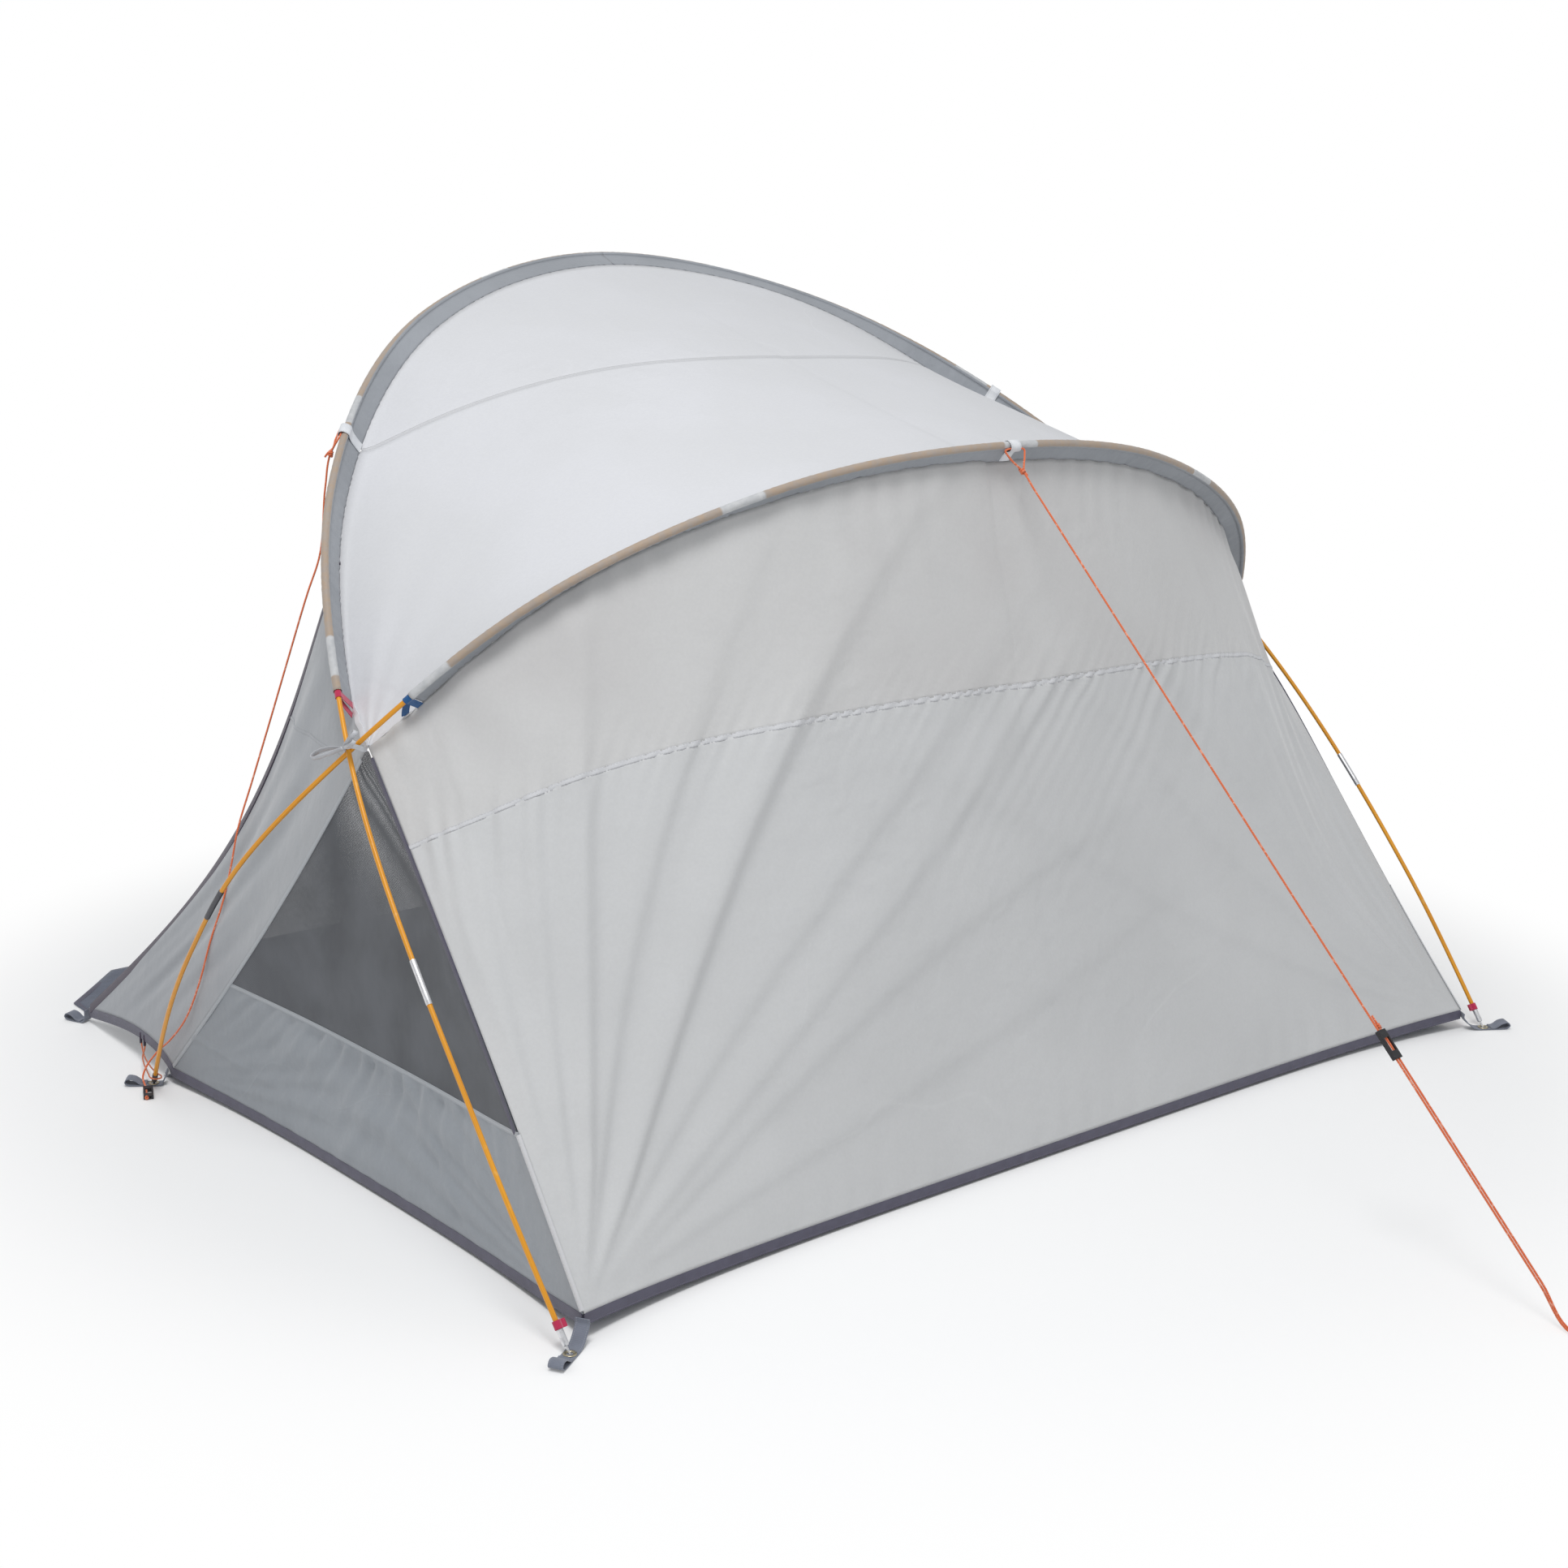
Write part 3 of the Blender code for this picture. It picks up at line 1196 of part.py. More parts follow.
def main():
    for item in list(bpy.data.objects):
        bpy.data.objects.remove(item, do_unlink=True)
    roof_cloth = material("roof_cloth", (0.68, 0.70, 0.74), 0.75)
    wall_cloth = material("wall_cloth", (0.50, 0.50, 0.52), 0.75)
    sleeve_cloth = material("sleeve_cloth", (0.36, 0.39, 0.42), 0.6)
    net = material("window_mesh", (0.13, 0.13, 0.14), 0.8)
    floor_cloth = material("floor_cloth", (0.07, 0.08, 0.12), 0.7)
    tape = material("binding_tape", (0.07, 0.065, 0.10), 0.7)
    dark_tape = material("dark_binding", (0.04, 0.025, 0.045), 0.7)
    fibreglass = material("fibreglass", (0.75, 0.38, 0.03), 0.35)
    elastic = material("shock_cord", (0.80, 0.80, 0.78), 0.8)
    webbing = material("grey_webbing", (0.16, 0.17, 0.22), 0.8)
    white_strap = material("white_strap", (0.75, 0.77, 0.80), 0.7)
    crimson = material("crimson_ribbon", (0.50, 0.02, 0.09), 0.6)
    blue = material("blue_ribbon", (0.01, 0.05, 0.27), 0.6)
    silver = material("silver_ribbon", (0.62, 0.63, 0.66), 0.4)
    orange = material("guy_cord", (0.78, 0.16, 0.03), 0.7)
    black = material("runner_plastic", (0.015, 0.015, 0.017), 0.45)

    build_groundsheet(floor_cloth)
    build_front_flap(floor_cloth)
    build_roof(roof_cloth)
    build_rear_wall(wall_cloth)
    build_sides(net, wall_cloth)
    build_wings(wall_cloth, dark_tape)
    build_bindings(tape)
    build_sleeve(FRONT, "front_sleeve_left", BUTT_GAP, FRONT_SLEEVE_END, sleeve_cloth)
    build_sleeve(FRONT, "front_sleeve_right", -FRONT_SLEEVE_END, -BUTT_GAP, sleeve_cloth)
    build_sleeve(REAR, "rear_sleeve", -REAR_SLEEVE_END, REAR_SLEEVE_END, sleeve_cloth)
    for arch, name in ((FRONT, "front"), (REAR, "rear")):
        build_pole_segments(arch, name, fibreglass)
        build_shock_cord(arch, name, elastic)
    for label, side in sides():
        rear_corner = (side * REAR_CORNER[0], REAR_CORNER[1], REAR_CORNER_LIFT)
        side_corner = (side * SIDE_CORNER[0], SIDE_CORNER[1], SIDE_CORNER_LIFT)
        build_corner_webbing(f"rear_corner_webbing_{label}", FRONT, side, rear_corner, 0.0, webbing)
        build_corner_webbing(f"side_corner_webbing_{label}", REAR, side, side_corner, SIDE_STRAP_SKEW, webbing)
        build_guy_strap(f"front_guy_strap_{label}", FRONT, side * FRONT_STRAP_S, 180, white_strap)
    build_guy_strap("rear_guy_strap", REAR, REAR_STRAP_S, 90, white_strap)
    build_wing_peg_loops(webbing)
    build_pole_loops("front_pole_loop", FRONT, crimson)
    build_pole_loops("rear_pole_loop", REAR, blue)
    build_crossing_ties(silver)
    build_guys(orange, black)


main()
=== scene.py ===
"""Looks of the beach shelter: cloth with its folds, seams, tapes, poles, cords, finishes and light."""
import math

import bpy
import numpy as np
from mathutils import Matrix


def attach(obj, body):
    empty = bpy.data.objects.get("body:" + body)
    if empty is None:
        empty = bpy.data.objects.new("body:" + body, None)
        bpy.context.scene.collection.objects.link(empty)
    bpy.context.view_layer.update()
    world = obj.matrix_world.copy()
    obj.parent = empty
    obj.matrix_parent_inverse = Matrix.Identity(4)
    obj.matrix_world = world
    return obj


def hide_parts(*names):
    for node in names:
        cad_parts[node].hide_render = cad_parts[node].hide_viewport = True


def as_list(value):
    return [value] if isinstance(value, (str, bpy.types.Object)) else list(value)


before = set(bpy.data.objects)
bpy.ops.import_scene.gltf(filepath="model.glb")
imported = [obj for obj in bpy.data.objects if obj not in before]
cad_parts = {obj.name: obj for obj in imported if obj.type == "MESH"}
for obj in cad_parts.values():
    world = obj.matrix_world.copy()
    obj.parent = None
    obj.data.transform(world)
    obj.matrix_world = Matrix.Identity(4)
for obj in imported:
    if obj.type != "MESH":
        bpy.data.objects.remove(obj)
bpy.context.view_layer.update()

# Sizes and places shared with the part
BINDING_WIDTH = 0.016
BINDING_THICK = 0.0024
WEBBING_WIDTH = 0.020
WEBBING_THICK = 0.0015
RIBBON_WIDTH = 0.011
RIBBON_THICK = 0.0008
GAP = 0.0003
POLE_RADIUS = 0.0035
FERRULE_RADIUS = 0.0043
FERRULE_LENGTH = 0.065
TIP_RADIUS = 0.0044
TIP_SOCKET = 0.022
PIN_LENGTH = 0.013
PIN_RADIUS = 0.0016
SLEEVE_RADIUS = 0.0058
FRONT_SEGMENT = 0.511
REAR_SEGMENT = 0.498
REAR_POLE_SHIFT = -0.05
FRONT_SLEEVE_END = 1.336
REAR_SLEEVE_END = 0.981
FRONT_STRAP_S = 0.819
REAR_STRAP_S = -0.035
FRONT_FLANGE = 0.040
REAR_FLANGE = 0.033
CROSS_X = 0.9175
CROSS_Z = 0.655
CROSS_SPREAD = 0.0108
TIE_REACH = 0.024
TIE_DROP = 0.005
REAR_CORNER = (0.917, 0.709, 0.019)
SIDE_CORNER = (0.957, -0.380, 0.012)
WING_CORNER = (0.950, -0.7255, 0.010)
REAR_HEM_MIDDLE_Y = 0.663
SIDE_HEM_BOW = 0.028
WING_HEM_ARCH = 0.028
WING_TOP_S = 1.06
WING_EDGE_BOW = 0.115
WING_EDGE_DRAW = 0.014
SIDE_SEAM_BOW = 0.020
REAR_SEAM_BOW = 0.012
WINDOW_SILL = 0.70
ROOF_SEAM_REACH = 0.50
WALL_SEAM_SIDE = 0.19
WALL_SEAM_MIDDLE = 0.33
FLAP_SEAM_Y = -0.420
FLAP_DEPTH = 0.534
FLAP_SEAM_HALF_WIDTH = 0.90
FLAP_WAIST_HALF_WIDTH = 0.85
FLAP_EAR_HALF_WIDTH = 0.9365
FLAP_CHAMFER = 0.125
EYELET_FLANGE = 0.0090
EYELET_BORE = 0.0045
STRAP_LEVEL = 0.00125
PEG_LOOP_LENGTH = 0.034
PEG_LOOP_RISE = 0.010
GUY_RADIUS = 0.0015
GUY_SPACING = 0.0055
TIE_CORD_RADIUS = 0.00125
RUNNER_DISTANCE = 0.971
HEM_FLATNESS = 5

# Where the cloths differ from the part's solids, to lie closer to the photo
CLOTH = 0.0006
HEM_LIFT = 0.004
FAR_BULGE = 0.026
ROOF_SAG = 0.020
FRONT_NARROWING = 0.27
FRONT_NARROWING_REACH = 0.35
FRONT_DRIFT_CROWN = 0.012
FRONT_DRIFT_CHANGE = 0.037
FRONT_DRIFT_START = 0.19
FRONT_DRIFT_SPAN = 0.52
REAR_FLANGE_SHARE = 0.90
REAR_NARROWING = 0.27
REAR_DRIFT = -0.008
REAR_DRIFT_START = 0.31

# Small forms that only the scene has
SLEEVE_ROOT = math.radians(16)
SLEEVE_STITCH = 0.0145
POCKET_EDGE = 0.0086
POCKET_BLUR = 0.0018
TAPE_THICK = 0.0016
STOPPER_LEAD = 0.0278
PRONG_RADIUS = 0.0024
FERRULE_STEP = 0.0002
WEAVE_PITCH = 0.0009
WEAVE_HEIGHT = 0.00003
RIB_HEIGHT = 0.00012
STITCH_HEIGHT = 0.0004
STITCH_SHARE = 0.62
PACKED_HEIGHT = 0.0002
CRUMPLE_HEIGHT = 0.0008

# Camera, fitted to the photograph
PHOTO_SIZE = 1932
CAMERA_PLACE = (2.3898, 2.8444, 1.3767)
CAMERA_AZIMUTH = math.radians(142.132)
CAMERA_ELEVATION = math.radians(13.397)
CAMERA_ROLL = math.radians(0.393)
FOCAL_PIXELS = 2815.4
CENTRE_SHIFT = (-95.4, -47.0)
SENSOR = 36.0

# Folds of the rear wall from its bottom corners: degrees off the upright edge, and strength
NEAR_FOLDS = ((5, 0.3), (12, 0.45), (20, 0.9), (29, 0.5), (40, 1.0), (49, 0.35), (57, 0.4), (66, 0.3),
              (75, 0.25))
FAR_FOLDS = ((8, 0.35), (15, 0.5), (21, 0.4), (27.5, 0.8), (33, 0.6), (41, 0.45), (51, 0.35), (63, 0.25))
FOLD_HEIGHT = 0.0165
WALL_WIDTH = 1.83
WALL_HEIGHT = 1.0

# Slant of the wall's seam gathers in degrees, at places across the wall in metres
PLEAT_PLACES = (0.0, 0.35, 0.85, 1.2, 1.5, 1.83)
PLEAT_SLANTS = (8, 33, 44, 38, 6, -30)

# Folds of the side bands from their bottom corners: degrees above the hem, and strength
SIDE_FOLDS = ((6, 0.5), (13, 0.8), (21, 0.6), (33, 0.5), (48, 0.4))
SIDE_LENGTH = 1.09

# Routes of the cords, the same points as in the part
REAR_GUY_KNOT = (-0.0360, 0.4760, 0.9950)
REAR_GUY_FOOT = (-0.0794, 1.4440, 0.0025)
REAR_GUY = [
    (-0.0412, 0.4816, 0.9883), (-0.0406, 0.4746, 0.9964), (-0.0440, 0.4707, 1.0023),
    (-0.0515, 0.4640, 1.0151), (-0.0540, 0.4596, 1.0244), (-0.0490, 0.4592, 1.0260),
    (-0.0350, 0.4592, 1.0260), (-0.0210, 0.4592, 1.0260), (-0.0160, 0.4596, 1.0244),
    (-0.0200, 0.4637, 1.0147), (-0.0290, 0.4702, 1.0033),
    REAR_GUY_KNOT, (-0.0370, 0.4983, 0.9721), (-0.0470, 0.7203, 0.7446),
    (-0.0579, 0.9645, 0.4941), (-0.0689, 1.2088, 0.2437), (-0.0774, 1.3972, 0.0505),
    (-0.0794, 1.4440, 0.0028), (-0.0785, 1.4540, 0.0022), (-0.0758, 1.4650, 0.0022),
    (-0.0742, 1.4740, 0.0022), (-0.0765, 1.4815, 0.0022), (-0.0822, 1.4845, 0.0022),
    (-0.0879, 1.4815, 0.0022), (-0.0902, 1.4740, 0.0022), (-0.0886, 1.4650, 0.0022),
    (-0.0859, 1.4540, 0.0022), (-0.0849, 1.4438, 0.0028), (-0.0829, 1.3970, 0.0505),
    (-0.0790, 1.3100, 0.1397), (-0.0748, 1.2160, 0.2361), (-0.0715, 1.1425, 0.3114),
    (-0.0706, 1.1230, 0.3315)]
FRONT_GUY = [
    (0.7176, -0.2545, 0.9958), (0.7125, -0.2512, 1.0034), (0.7072, -0.2511, 1.0070),
    (0.6952, -0.2599, 1.0212), (0.6862, -0.2635, 1.0336), (0.6820, -0.2593, 1.0431),
    (0.6842, -0.2533, 1.0431), (0.6925, -0.2447, 1.0357), (0.7008, -0.2362, 1.0283),
    (0.7045, -0.2362, 1.0230), (0.7087, -0.2410, 1.0128),
    (0.7120, -0.2470, 1.0010), (0.7196, -0.2517, 0.9530), (0.7353, -0.2507, 0.8423),
    (0.7587, -0.2458, 0.7936), (0.7905, -0.2539, 0.6966), (0.8233, -0.2592, 0.5998),
    (0.8566, -0.2613, 0.5083), (0.8842, -0.2638, 0.4303), (0.8966, -0.2635, 0.3796),
    (0.9130, -0.2640, 0.3240), (0.9320, -0.2750, 0.2600), (0.9430, -0.2890, 0.2020),
    (0.9560, -0.3240, 0.1260), (0.9640, -0.3700, 0.0780), (0.9760, -0.4020, 0.0470),
    (0.9900, -0.4070, 0.0270), (0.9985, -0.4015, 0.0135), (0.9999, -0.3940, 0.0066),
    (1.0015, -0.3835, 0.0034), (1.0060, -0.3730, 0.0033), (1.0142, -0.3538, 0.0033),
    (1.0185, -0.3440, 0.0034)]
WING_TIE = [
    (0.9546, -0.5020, 0.0378), (0.9552, -0.5000, 0.0300), (0.9610, -0.4800, 0.0200),
    (0.9690, -0.4450, 0.0165), (0.9745, -0.4150, 0.0170), (0.9770, -0.3920, 0.0180),
    (0.9775, -0.3780, 0.0185), (0.9825, -0.3698, 0.0190), (0.9900, -0.3703, 0.0190),
    (0.9940, -0.3800, 0.0185), (0.9905, -0.3980, 0.0190), (0.9840, -0.4200, 0.0185),
    (0.9750, -0.4500, 0.0180), (0.9650, -0.4750, 0.0210), (0.9560, -0.4860, 0.0300),
    (0.9549, -0.4870, 0.0378)]


# Vectors and curves
SIDES = (("left", 1), ("right", -1))
UPRIGHT = (0.0, 0.0, 1.0)


def unit(vector):
    vector = np.asarray(vector, float)
    return vector / np.linalg.norm(vector, axis=-1, keepdims=True)


def smooth_line(controls, steps=24):
    """A smooth curve through control points that may be unevenly spaced."""
    controls = np.asarray(controls, float)
    spans = np.linalg.norm(np.diff(controls, axis=0), axis=1)[:, None]
    slopes = np.diff(controls, axis=0) / spans
    middle = (slopes[:-1] * spans[1:] + slopes[1:] * spans[:-1]) / (spans[:-1] + spans[1:])
    tangents = np.vstack([1.5 * slopes[0] - 0.5 * middle[0], middle, 1.5 * slopes[-1] - 0.5 * middle[-1]])
    line = []
    for k, span in enumerate(spans):
        for t in np.arange(steps) / steps:
            line.append((2 * t ** 3 - 3 * t ** 2 + 1) * controls[k]
                        + (t ** 3 - 2 * t ** 2 + t) * span * tangents[k]
                        + (3 * t ** 2 - 2 * t ** 3) * controls[k + 1]
                        + (t ** 3 - t ** 2) * span * tangents[k + 1])
    line.append(controls[-1])
    return np.array(line)


def lengths_along(line):
    return np.concatenate([[0.0], np.cumsum(np.linalg.norm(np.diff(line, axis=0), axis=1))])


def at_length(line, lengths, wanted):
    return np.stack([np.interp(wanted, lengths, line[:, axis]) for axis in range(3)], axis=-1)


def climb(value, reach):
    """From 0 at nothing straight up to 1 at the reach."""
    return np.clip(value / reach, 0, 1)


def fade(value, reach):
    """From 1 at nothing down, e times smaller for each reach."""
    return np.exp(-value / reach)


def bell(value, reach):
    return np.exp(-(value / reach) ** 2)


def hump(share):
    """From 0 up to 1 at the middle and back."""
    return np.sin(np.pi * share)


def wander(place, rate, sway, slow):
    """A wave whose crests drift to and fro."""
    return np.sin(place * rate + sway * np.sin(place * slow))


class Arch:
    """A bent pole. Places on it are lengths from the crown, positive towards +X."""

    def __init__(self, profile, foot_y, lean, belly):
        self.crown_z = profile[-1][1]
        self.foot_y = foot_y
        self.lean = lean
        self.belly = belly
        half = [(x, self.depth(z), z) for x, z in profile]
        self.line = smooth_line([(-x, y, z) for x, y, z in half[:-1]] + half[::-1], 48)
        self.lengths = lengths_along(self.line)
        self.half_length = self.lengths[-1] / 2
        self.lengths = self.lengths - self.half_length

    def depth(self, z):
        share = z / self.crown_z
        return self.foot_y + self.lean * z + self.belly * 4 * share * (1 - share)

    def point(self, s):
        return at_length(self.line, self.lengths, s)

    def frame(self, s):
        """Direction along the pole, inward to the canopy, and across the flange."""
        s = np.asarray(s, float)
        span, step, middle_height = 0.02, 0.005, 0.3
        low = np.clip(s - span, -self.half_length, None)
        high = np.clip(s + span, None, self.half_length)
        along = unit(self.point(high) - self.point(low))
        z = self.point(s)[..., 2]
        slope = (self.depth(z + step) - self.depth(z - step)) / (2 * step)
        across = unit(np.stack([np.zeros_like(z), -np.ones_like(z), slope], axis=-1))
        inward = unit(np.cross(across, along))
        middle = np.stack([np.zeros_like(z), self.depth(z), np.full_like(z, middle_height)], axis=-1)
        aim = middle - self.point(s)
        inward = inward * np.where(np.sum(inward * aim, axis=-1, keepdims=True) < 0, -1.0, 1.0)
        return along, inward, unit(np.cross(along, inward))


# Half width and height from a foot up to the crown, the feet's place, lean and belly
FRONT = Arch([(0.952, 0.0), (0.9635, 0.24), (CROSS_X + CROSS_SPREAD / 2, CROSS_Z), (0.7595, 0.9605),
              (0.4398, 1.191), (0.0, 1.283)], 0.732, -0.993, 0.082)
REAR = Arch([(0.982, 0.0), (1.034, 0.303), (1.0217, 0.4537), (CROSS_X - CROSS_SPREAD / 2, CROSS_Z),
             (0.7317, 0.8456), (0.3895, 0.990), (0.0, 1.031)], -0.3984, 0.826, 0.0277)
FRONT_JOINTS = [FRONT_SEGMENT * (k - 4.5) for k in range(1, 9)]
REAR_JOINTS = [REAR_POLE_SHIFT + REAR_SEGMENT * (k - 4) for k in range(1, 8)]


def crossing():
    """Where the two arches cross at +X."""
    heights = np.linspace(0.3, 1.0, 1401)
    z = float(heights[int(np.argmin(np.abs(FRONT.depth(heights) - REAR.depth(heights))))])
    return np.array([CROSS_X, FRONT.depth(z), z])


CROSS = crossing()
VERTEX = CROSS + np.array([-TIE_REACH, 0.0, -TIE_DROP])


def canopy_reach(arch):
    """Length along an arch from its crown to the crossing."""
    places = np.linspace(0.9, 1.6, 1401)
    return float(places[int(np.argmin(np.linalg.norm(arch.point(places) - CROSS, axis=1)))])


FRONT_REACH = canopy_reach(FRONT)
REAR_REACH = canopy_reach(REAR)


def sleeve_end(arch):
    return REAR_SLEEVE_END if arch is REAR else FRONT_SLEEVE_END


def flange(arch, s):
    """Depth of a sleeve's flange and how far the canopy pulls it aside."""
    end = sleeve_end(arch)
    share = np.minimum(np.abs(s), end) / end
    if arch is REAR:
        narrowing = REAR_NARROWING * hump(np.clip(s / end, 0, 1) ** 0.8) ** 0.5
        part = np.clip((share - REAR_DRIFT_START) / (1 - REAR_DRIFT_START), 0, 1)
        return REAR_FLANGE * (REAR_FLANGE_SHARE - narrowing), REAR_DRIFT * hump(part) ** 2
    narrowing = FRONT_NARROWING * (1 - bell(share, FRONT_NARROWING_REACH))
    part = np.clip((share - FRONT_DRIFT_START) / FRONT_DRIFT_SPAN, 0, 1)
    drift = FRONT_DRIFT_CROWN - FRONT_DRIFT_CHANGE * part * part * (3 - 2 * part)
    return FRONT_FLANGE * (1 - narrowing), drift


def canopy_line(arch, s):
    """The seam along a flange; past the sleeve it runs straight to the tied corner."""
    s = np.atleast_1d(np.asarray(s, float))
    end = sleeve_end(arch)
    inner = np.clip(s, -end, end)
    depth, drift = flange(arch, inner)
    _, inward, across = arch.frame(inner)
    here = arch.point(inner) + inward * depth[:, None] + across * drift[:, None]
    reach = REAR_REACH if arch is REAR else FRONT_REACH
    share = np.clip((np.abs(s) - end) / (reach - end), 0, 1)[:, None]
    corner = VERTEX * np.stack([np.sign(s), np.ones_like(s), np.ones_like(s)], axis=-1)
    return here + (corner - here) * share


def front_seam(share):
    return canopy_line(FRONT, FRONT_REACH * (1 - 2 * np.asarray(share)))


def rear_seam(share):
    return canopy_line(REAR, REAR_REACH * (1 - 2 * np.asarray(share)))


def rear_hem(share, lift=0.0):
    across = 1 - 2 * np.asarray(share, float)
    bend = np.abs(across) ** HEM_FLATNESS
    return np.stack([REAR_CORNER[0] * across,
                     REAR_HEM_MIDDLE_Y + (REAR_CORNER[1] - REAR_HEM_MIDDLE_Y) * bend,
                     HEM_LIFT + (REAR_CORNER[2] - HEM_LIFT) * bend + lift], axis=-1)


def side_hem(share, lift=0.0):
    share = np.asarray(share, float)
    flat = np.abs(2 * share - 1)
    here = np.array(SIDE_CORNER) + (np.array(REAR_CORNER) - SIDE_CORNER) * share[..., None]
    here[..., 0] -= SIDE_HEM_BOW * (1 - flat ** 3)
    here[..., 2] = HEM_LIFT + (here[..., 2] - HEM_LIFT) * flat ** HEM_FLATNESS + lift
    return here


def wing_hem(share, lift=0.0):
    share = np.asarray(share, float)
    here = np.array(SIDE_CORNER) + (np.array(WING_CORNER) - SIDE_CORNER) * share[..., None]
    here[..., 2] += WING_HEM_ARCH * hump(share ** 0.65) + lift
    return here


# Materials
def linear(*colour):
    """Screen values from 0 to 255 as a linear colour."""
    shares = [value / 255 for value in colour]
    return tuple(v / 12.92 if v < 0.04045 else ((v + 0.055) / 1.055) ** 2.4 for v in shares)


def dimmed(colour, share):
    """Linear colour of screen values after dimming them."""
    return linear(*[value * share for value in colour])


def scaled(base, factor, more=0.0):
    return tuple(min(1.0, value * factor + more) for value in base)


class Finish:
    """A procedural material, built from small node steps."""

    def __init__(self, name, roughness, metallic=0.0, sheen=0.0, specular=0.5):
        self.material = bpy.data.materials.new(name)
        self.material.use_nodes = True
        self.tree = self.material.node_tree
        self.shader = self.tree.nodes["Principled BSDF"]
        self.shader.inputs["Roughness"].default_value = roughness
        self.shader.inputs["Metallic"].default_value = metallic
        self.shader.inputs["Sheen Weight"].default_value = sheen
        self.shader.inputs["Specular IOR Level"].default_value = specular

    def node(self, kind, settings=None, **inputs):
        """A node; inputs are given by name, or as i and their number."""
        made = self.tree.nodes.new("ShaderNode" + kind)
        for key, value in (settings or {}).items():
            setattr(made, key, value)
        for key, value in inputs.items():
            socket = made.inputs[int(key[1:])] if key[0] == "i" and key[1:].isdigit() else made.inputs[key]
            self.feed(socket, value)
        return made

    def feed(self, socket, value):
        if isinstance(value, bpy.types.NodeSocket):
            self.tree.links.new(value, socket)
        else:
            socket.default_value = value

    def maths(self, operation, a, b=0.0, c=0.0):
        return self.node("Math", {"operation": operation}, i0=a, i1=b, i2=c).outputs[0]

    def times(self, a, b):
        return self.maths("MULTIPLY", a, b)

    def apart(self, value, middle):
        """How far a value is from a middle one."""
        return self.maths("ABSOLUTE", self.maths("SUBTRACT", value, middle))

    def place(self):
        """Place on the surface of the object in metres."""
        return self.node("TexCoord").outputs["Object"]

    def along_across(self):
        """Metres along and across a strip or panel."""
        split = self.node("SeparateXYZ", Vector=self.node("UVMap").outputs["UV"])
        return split.outputs[0], split.outputs[1]

    def noise(self, scale, detail=2.0, rough=0.5, vector=None):
        return self.node("TexNoise", None, Vector=vector or self.place(), Scale=scale, Detail=detail,
                         Roughness=rough).outputs[0]

    def ramp(self, value, low, high, start=0.0, end=1.0):
        settings = {"interpolation_type": "SMOOTHSTEP"}
        return self.node("MapRange", settings, i0=value, i1=low, i2=high, i3=start, i4=end).outputs[0]

    def mix(self, share, first, second):
        """Blends two colours; each is a socket or three linear values."""
        one, two = (value if isinstance(value, bpy.types.NodeSocket) else (*value, 1.0)
                    for value in (first, second))
        return self.node("Mix", {"data_type": "RGBA"}, i0=share, i6=one, i7=two).outputs[2]

    def weave(self, pitch):
        """Height of a plain weave of threads, from 0 to 1."""
        along, across = self.along_across()
        turn = 2 * math.pi / pitch
        rows = self.maths("SINE", self.times(along, turn))
        columns = self.maths("SINE", self.times(across, turn))
        return self.maths("MULTIPLY_ADD", self.times(rows, columns), 0.5, 0.5)

    def stitches(self, rows, pitch=0.0048, width=0.0009):
        """Mask of stitch dashes in rows at distances across the strip."""
        along, across = self.along_across()
        dash = self.maths("LESS_THAN", self.maths("FRACT", self.maths("DIVIDE", along, pitch)), STITCH_SHARE)
        mask = 0.0
        for row in rows:
            mask = self.maths("MAXIMUM", mask, self.maths("LESS_THAN", self.apart(across, row), width / 2))
        return self.times(mask, dash)

    def bump(self, *layers):
        """Stacks heights, each with its depth in metres."""
        normal = None
        for height, depth in layers:
            made = self.node("Bump", None, Height=height, Distance=depth, Strength=1.0)
            if normal:
                self.tree.links.new(normal, made.inputs["Normal"])
            normal = made.outputs[0]
        self.tree.links.new(normal, self.shader.inputs["Normal"])

    def colour(self, socket):
        self.tree.links.new(socket, self.shader.inputs["Base Color"])
        return self


def cloth_finish(name, colour, warm, crease, rows=()):
    """Thin coated polyester: fine weave, faint slubs, soft creases and slightly uneven colour."""
    made = Finish(name, 0.62, sheen=0.25, specular=0.35)
    base = linear(*colour)
    cloudy = made.mix(made.ramp(made.noise(3.0, 3.0), 0.35, 0.65), base, linear(*warm))
    slub = made.ramp(made.noise(240.0, 2.0), 0.3, 0.7)
    tint = made.mix(made.times(slub, 0.10), cloudy, scaled(base, 0.72))
    line = made.apart(made.noise(2.6, 1.5, 0.4), 0.5)
    packed = made.times(made.ramp(line, 0.0, 0.006, 1.0, 0.0), made.ramp(made.noise(1.7, 1.0), 0.48, 0.6))
    tint = made.mix(made.times(packed, 0.16), tint, scaled(base, 1.12))
    fine = made.apart(made.noise(13.0, 2.0, 0.5), 0.5)
    crumple = made.times(made.ramp(fine, 0.0, 0.16, 1.0, 0.0), made.ramp(made.noise(2.2, 2.0), 0.40, 0.70))
    layers = [(made.noise(7.0, 4.0, 0.55), crease), (made.noise(38.0, 3.0), crease * 0.10),
              (packed, PACKED_HEIGHT), (crumple, CRUMPLE_HEIGHT), (made.weave(WEAVE_PITCH), WEAVE_HEIGHT)]
    if rows:
        stitch = made.stitches(rows)
        tint = made.mix(made.times(stitch, 0.3), tint, scaled(base, 0.6))
        layers.append((stitch, STITCH_HEIGHT))
    made.bump(*layers)
    return made.colour(tint).material


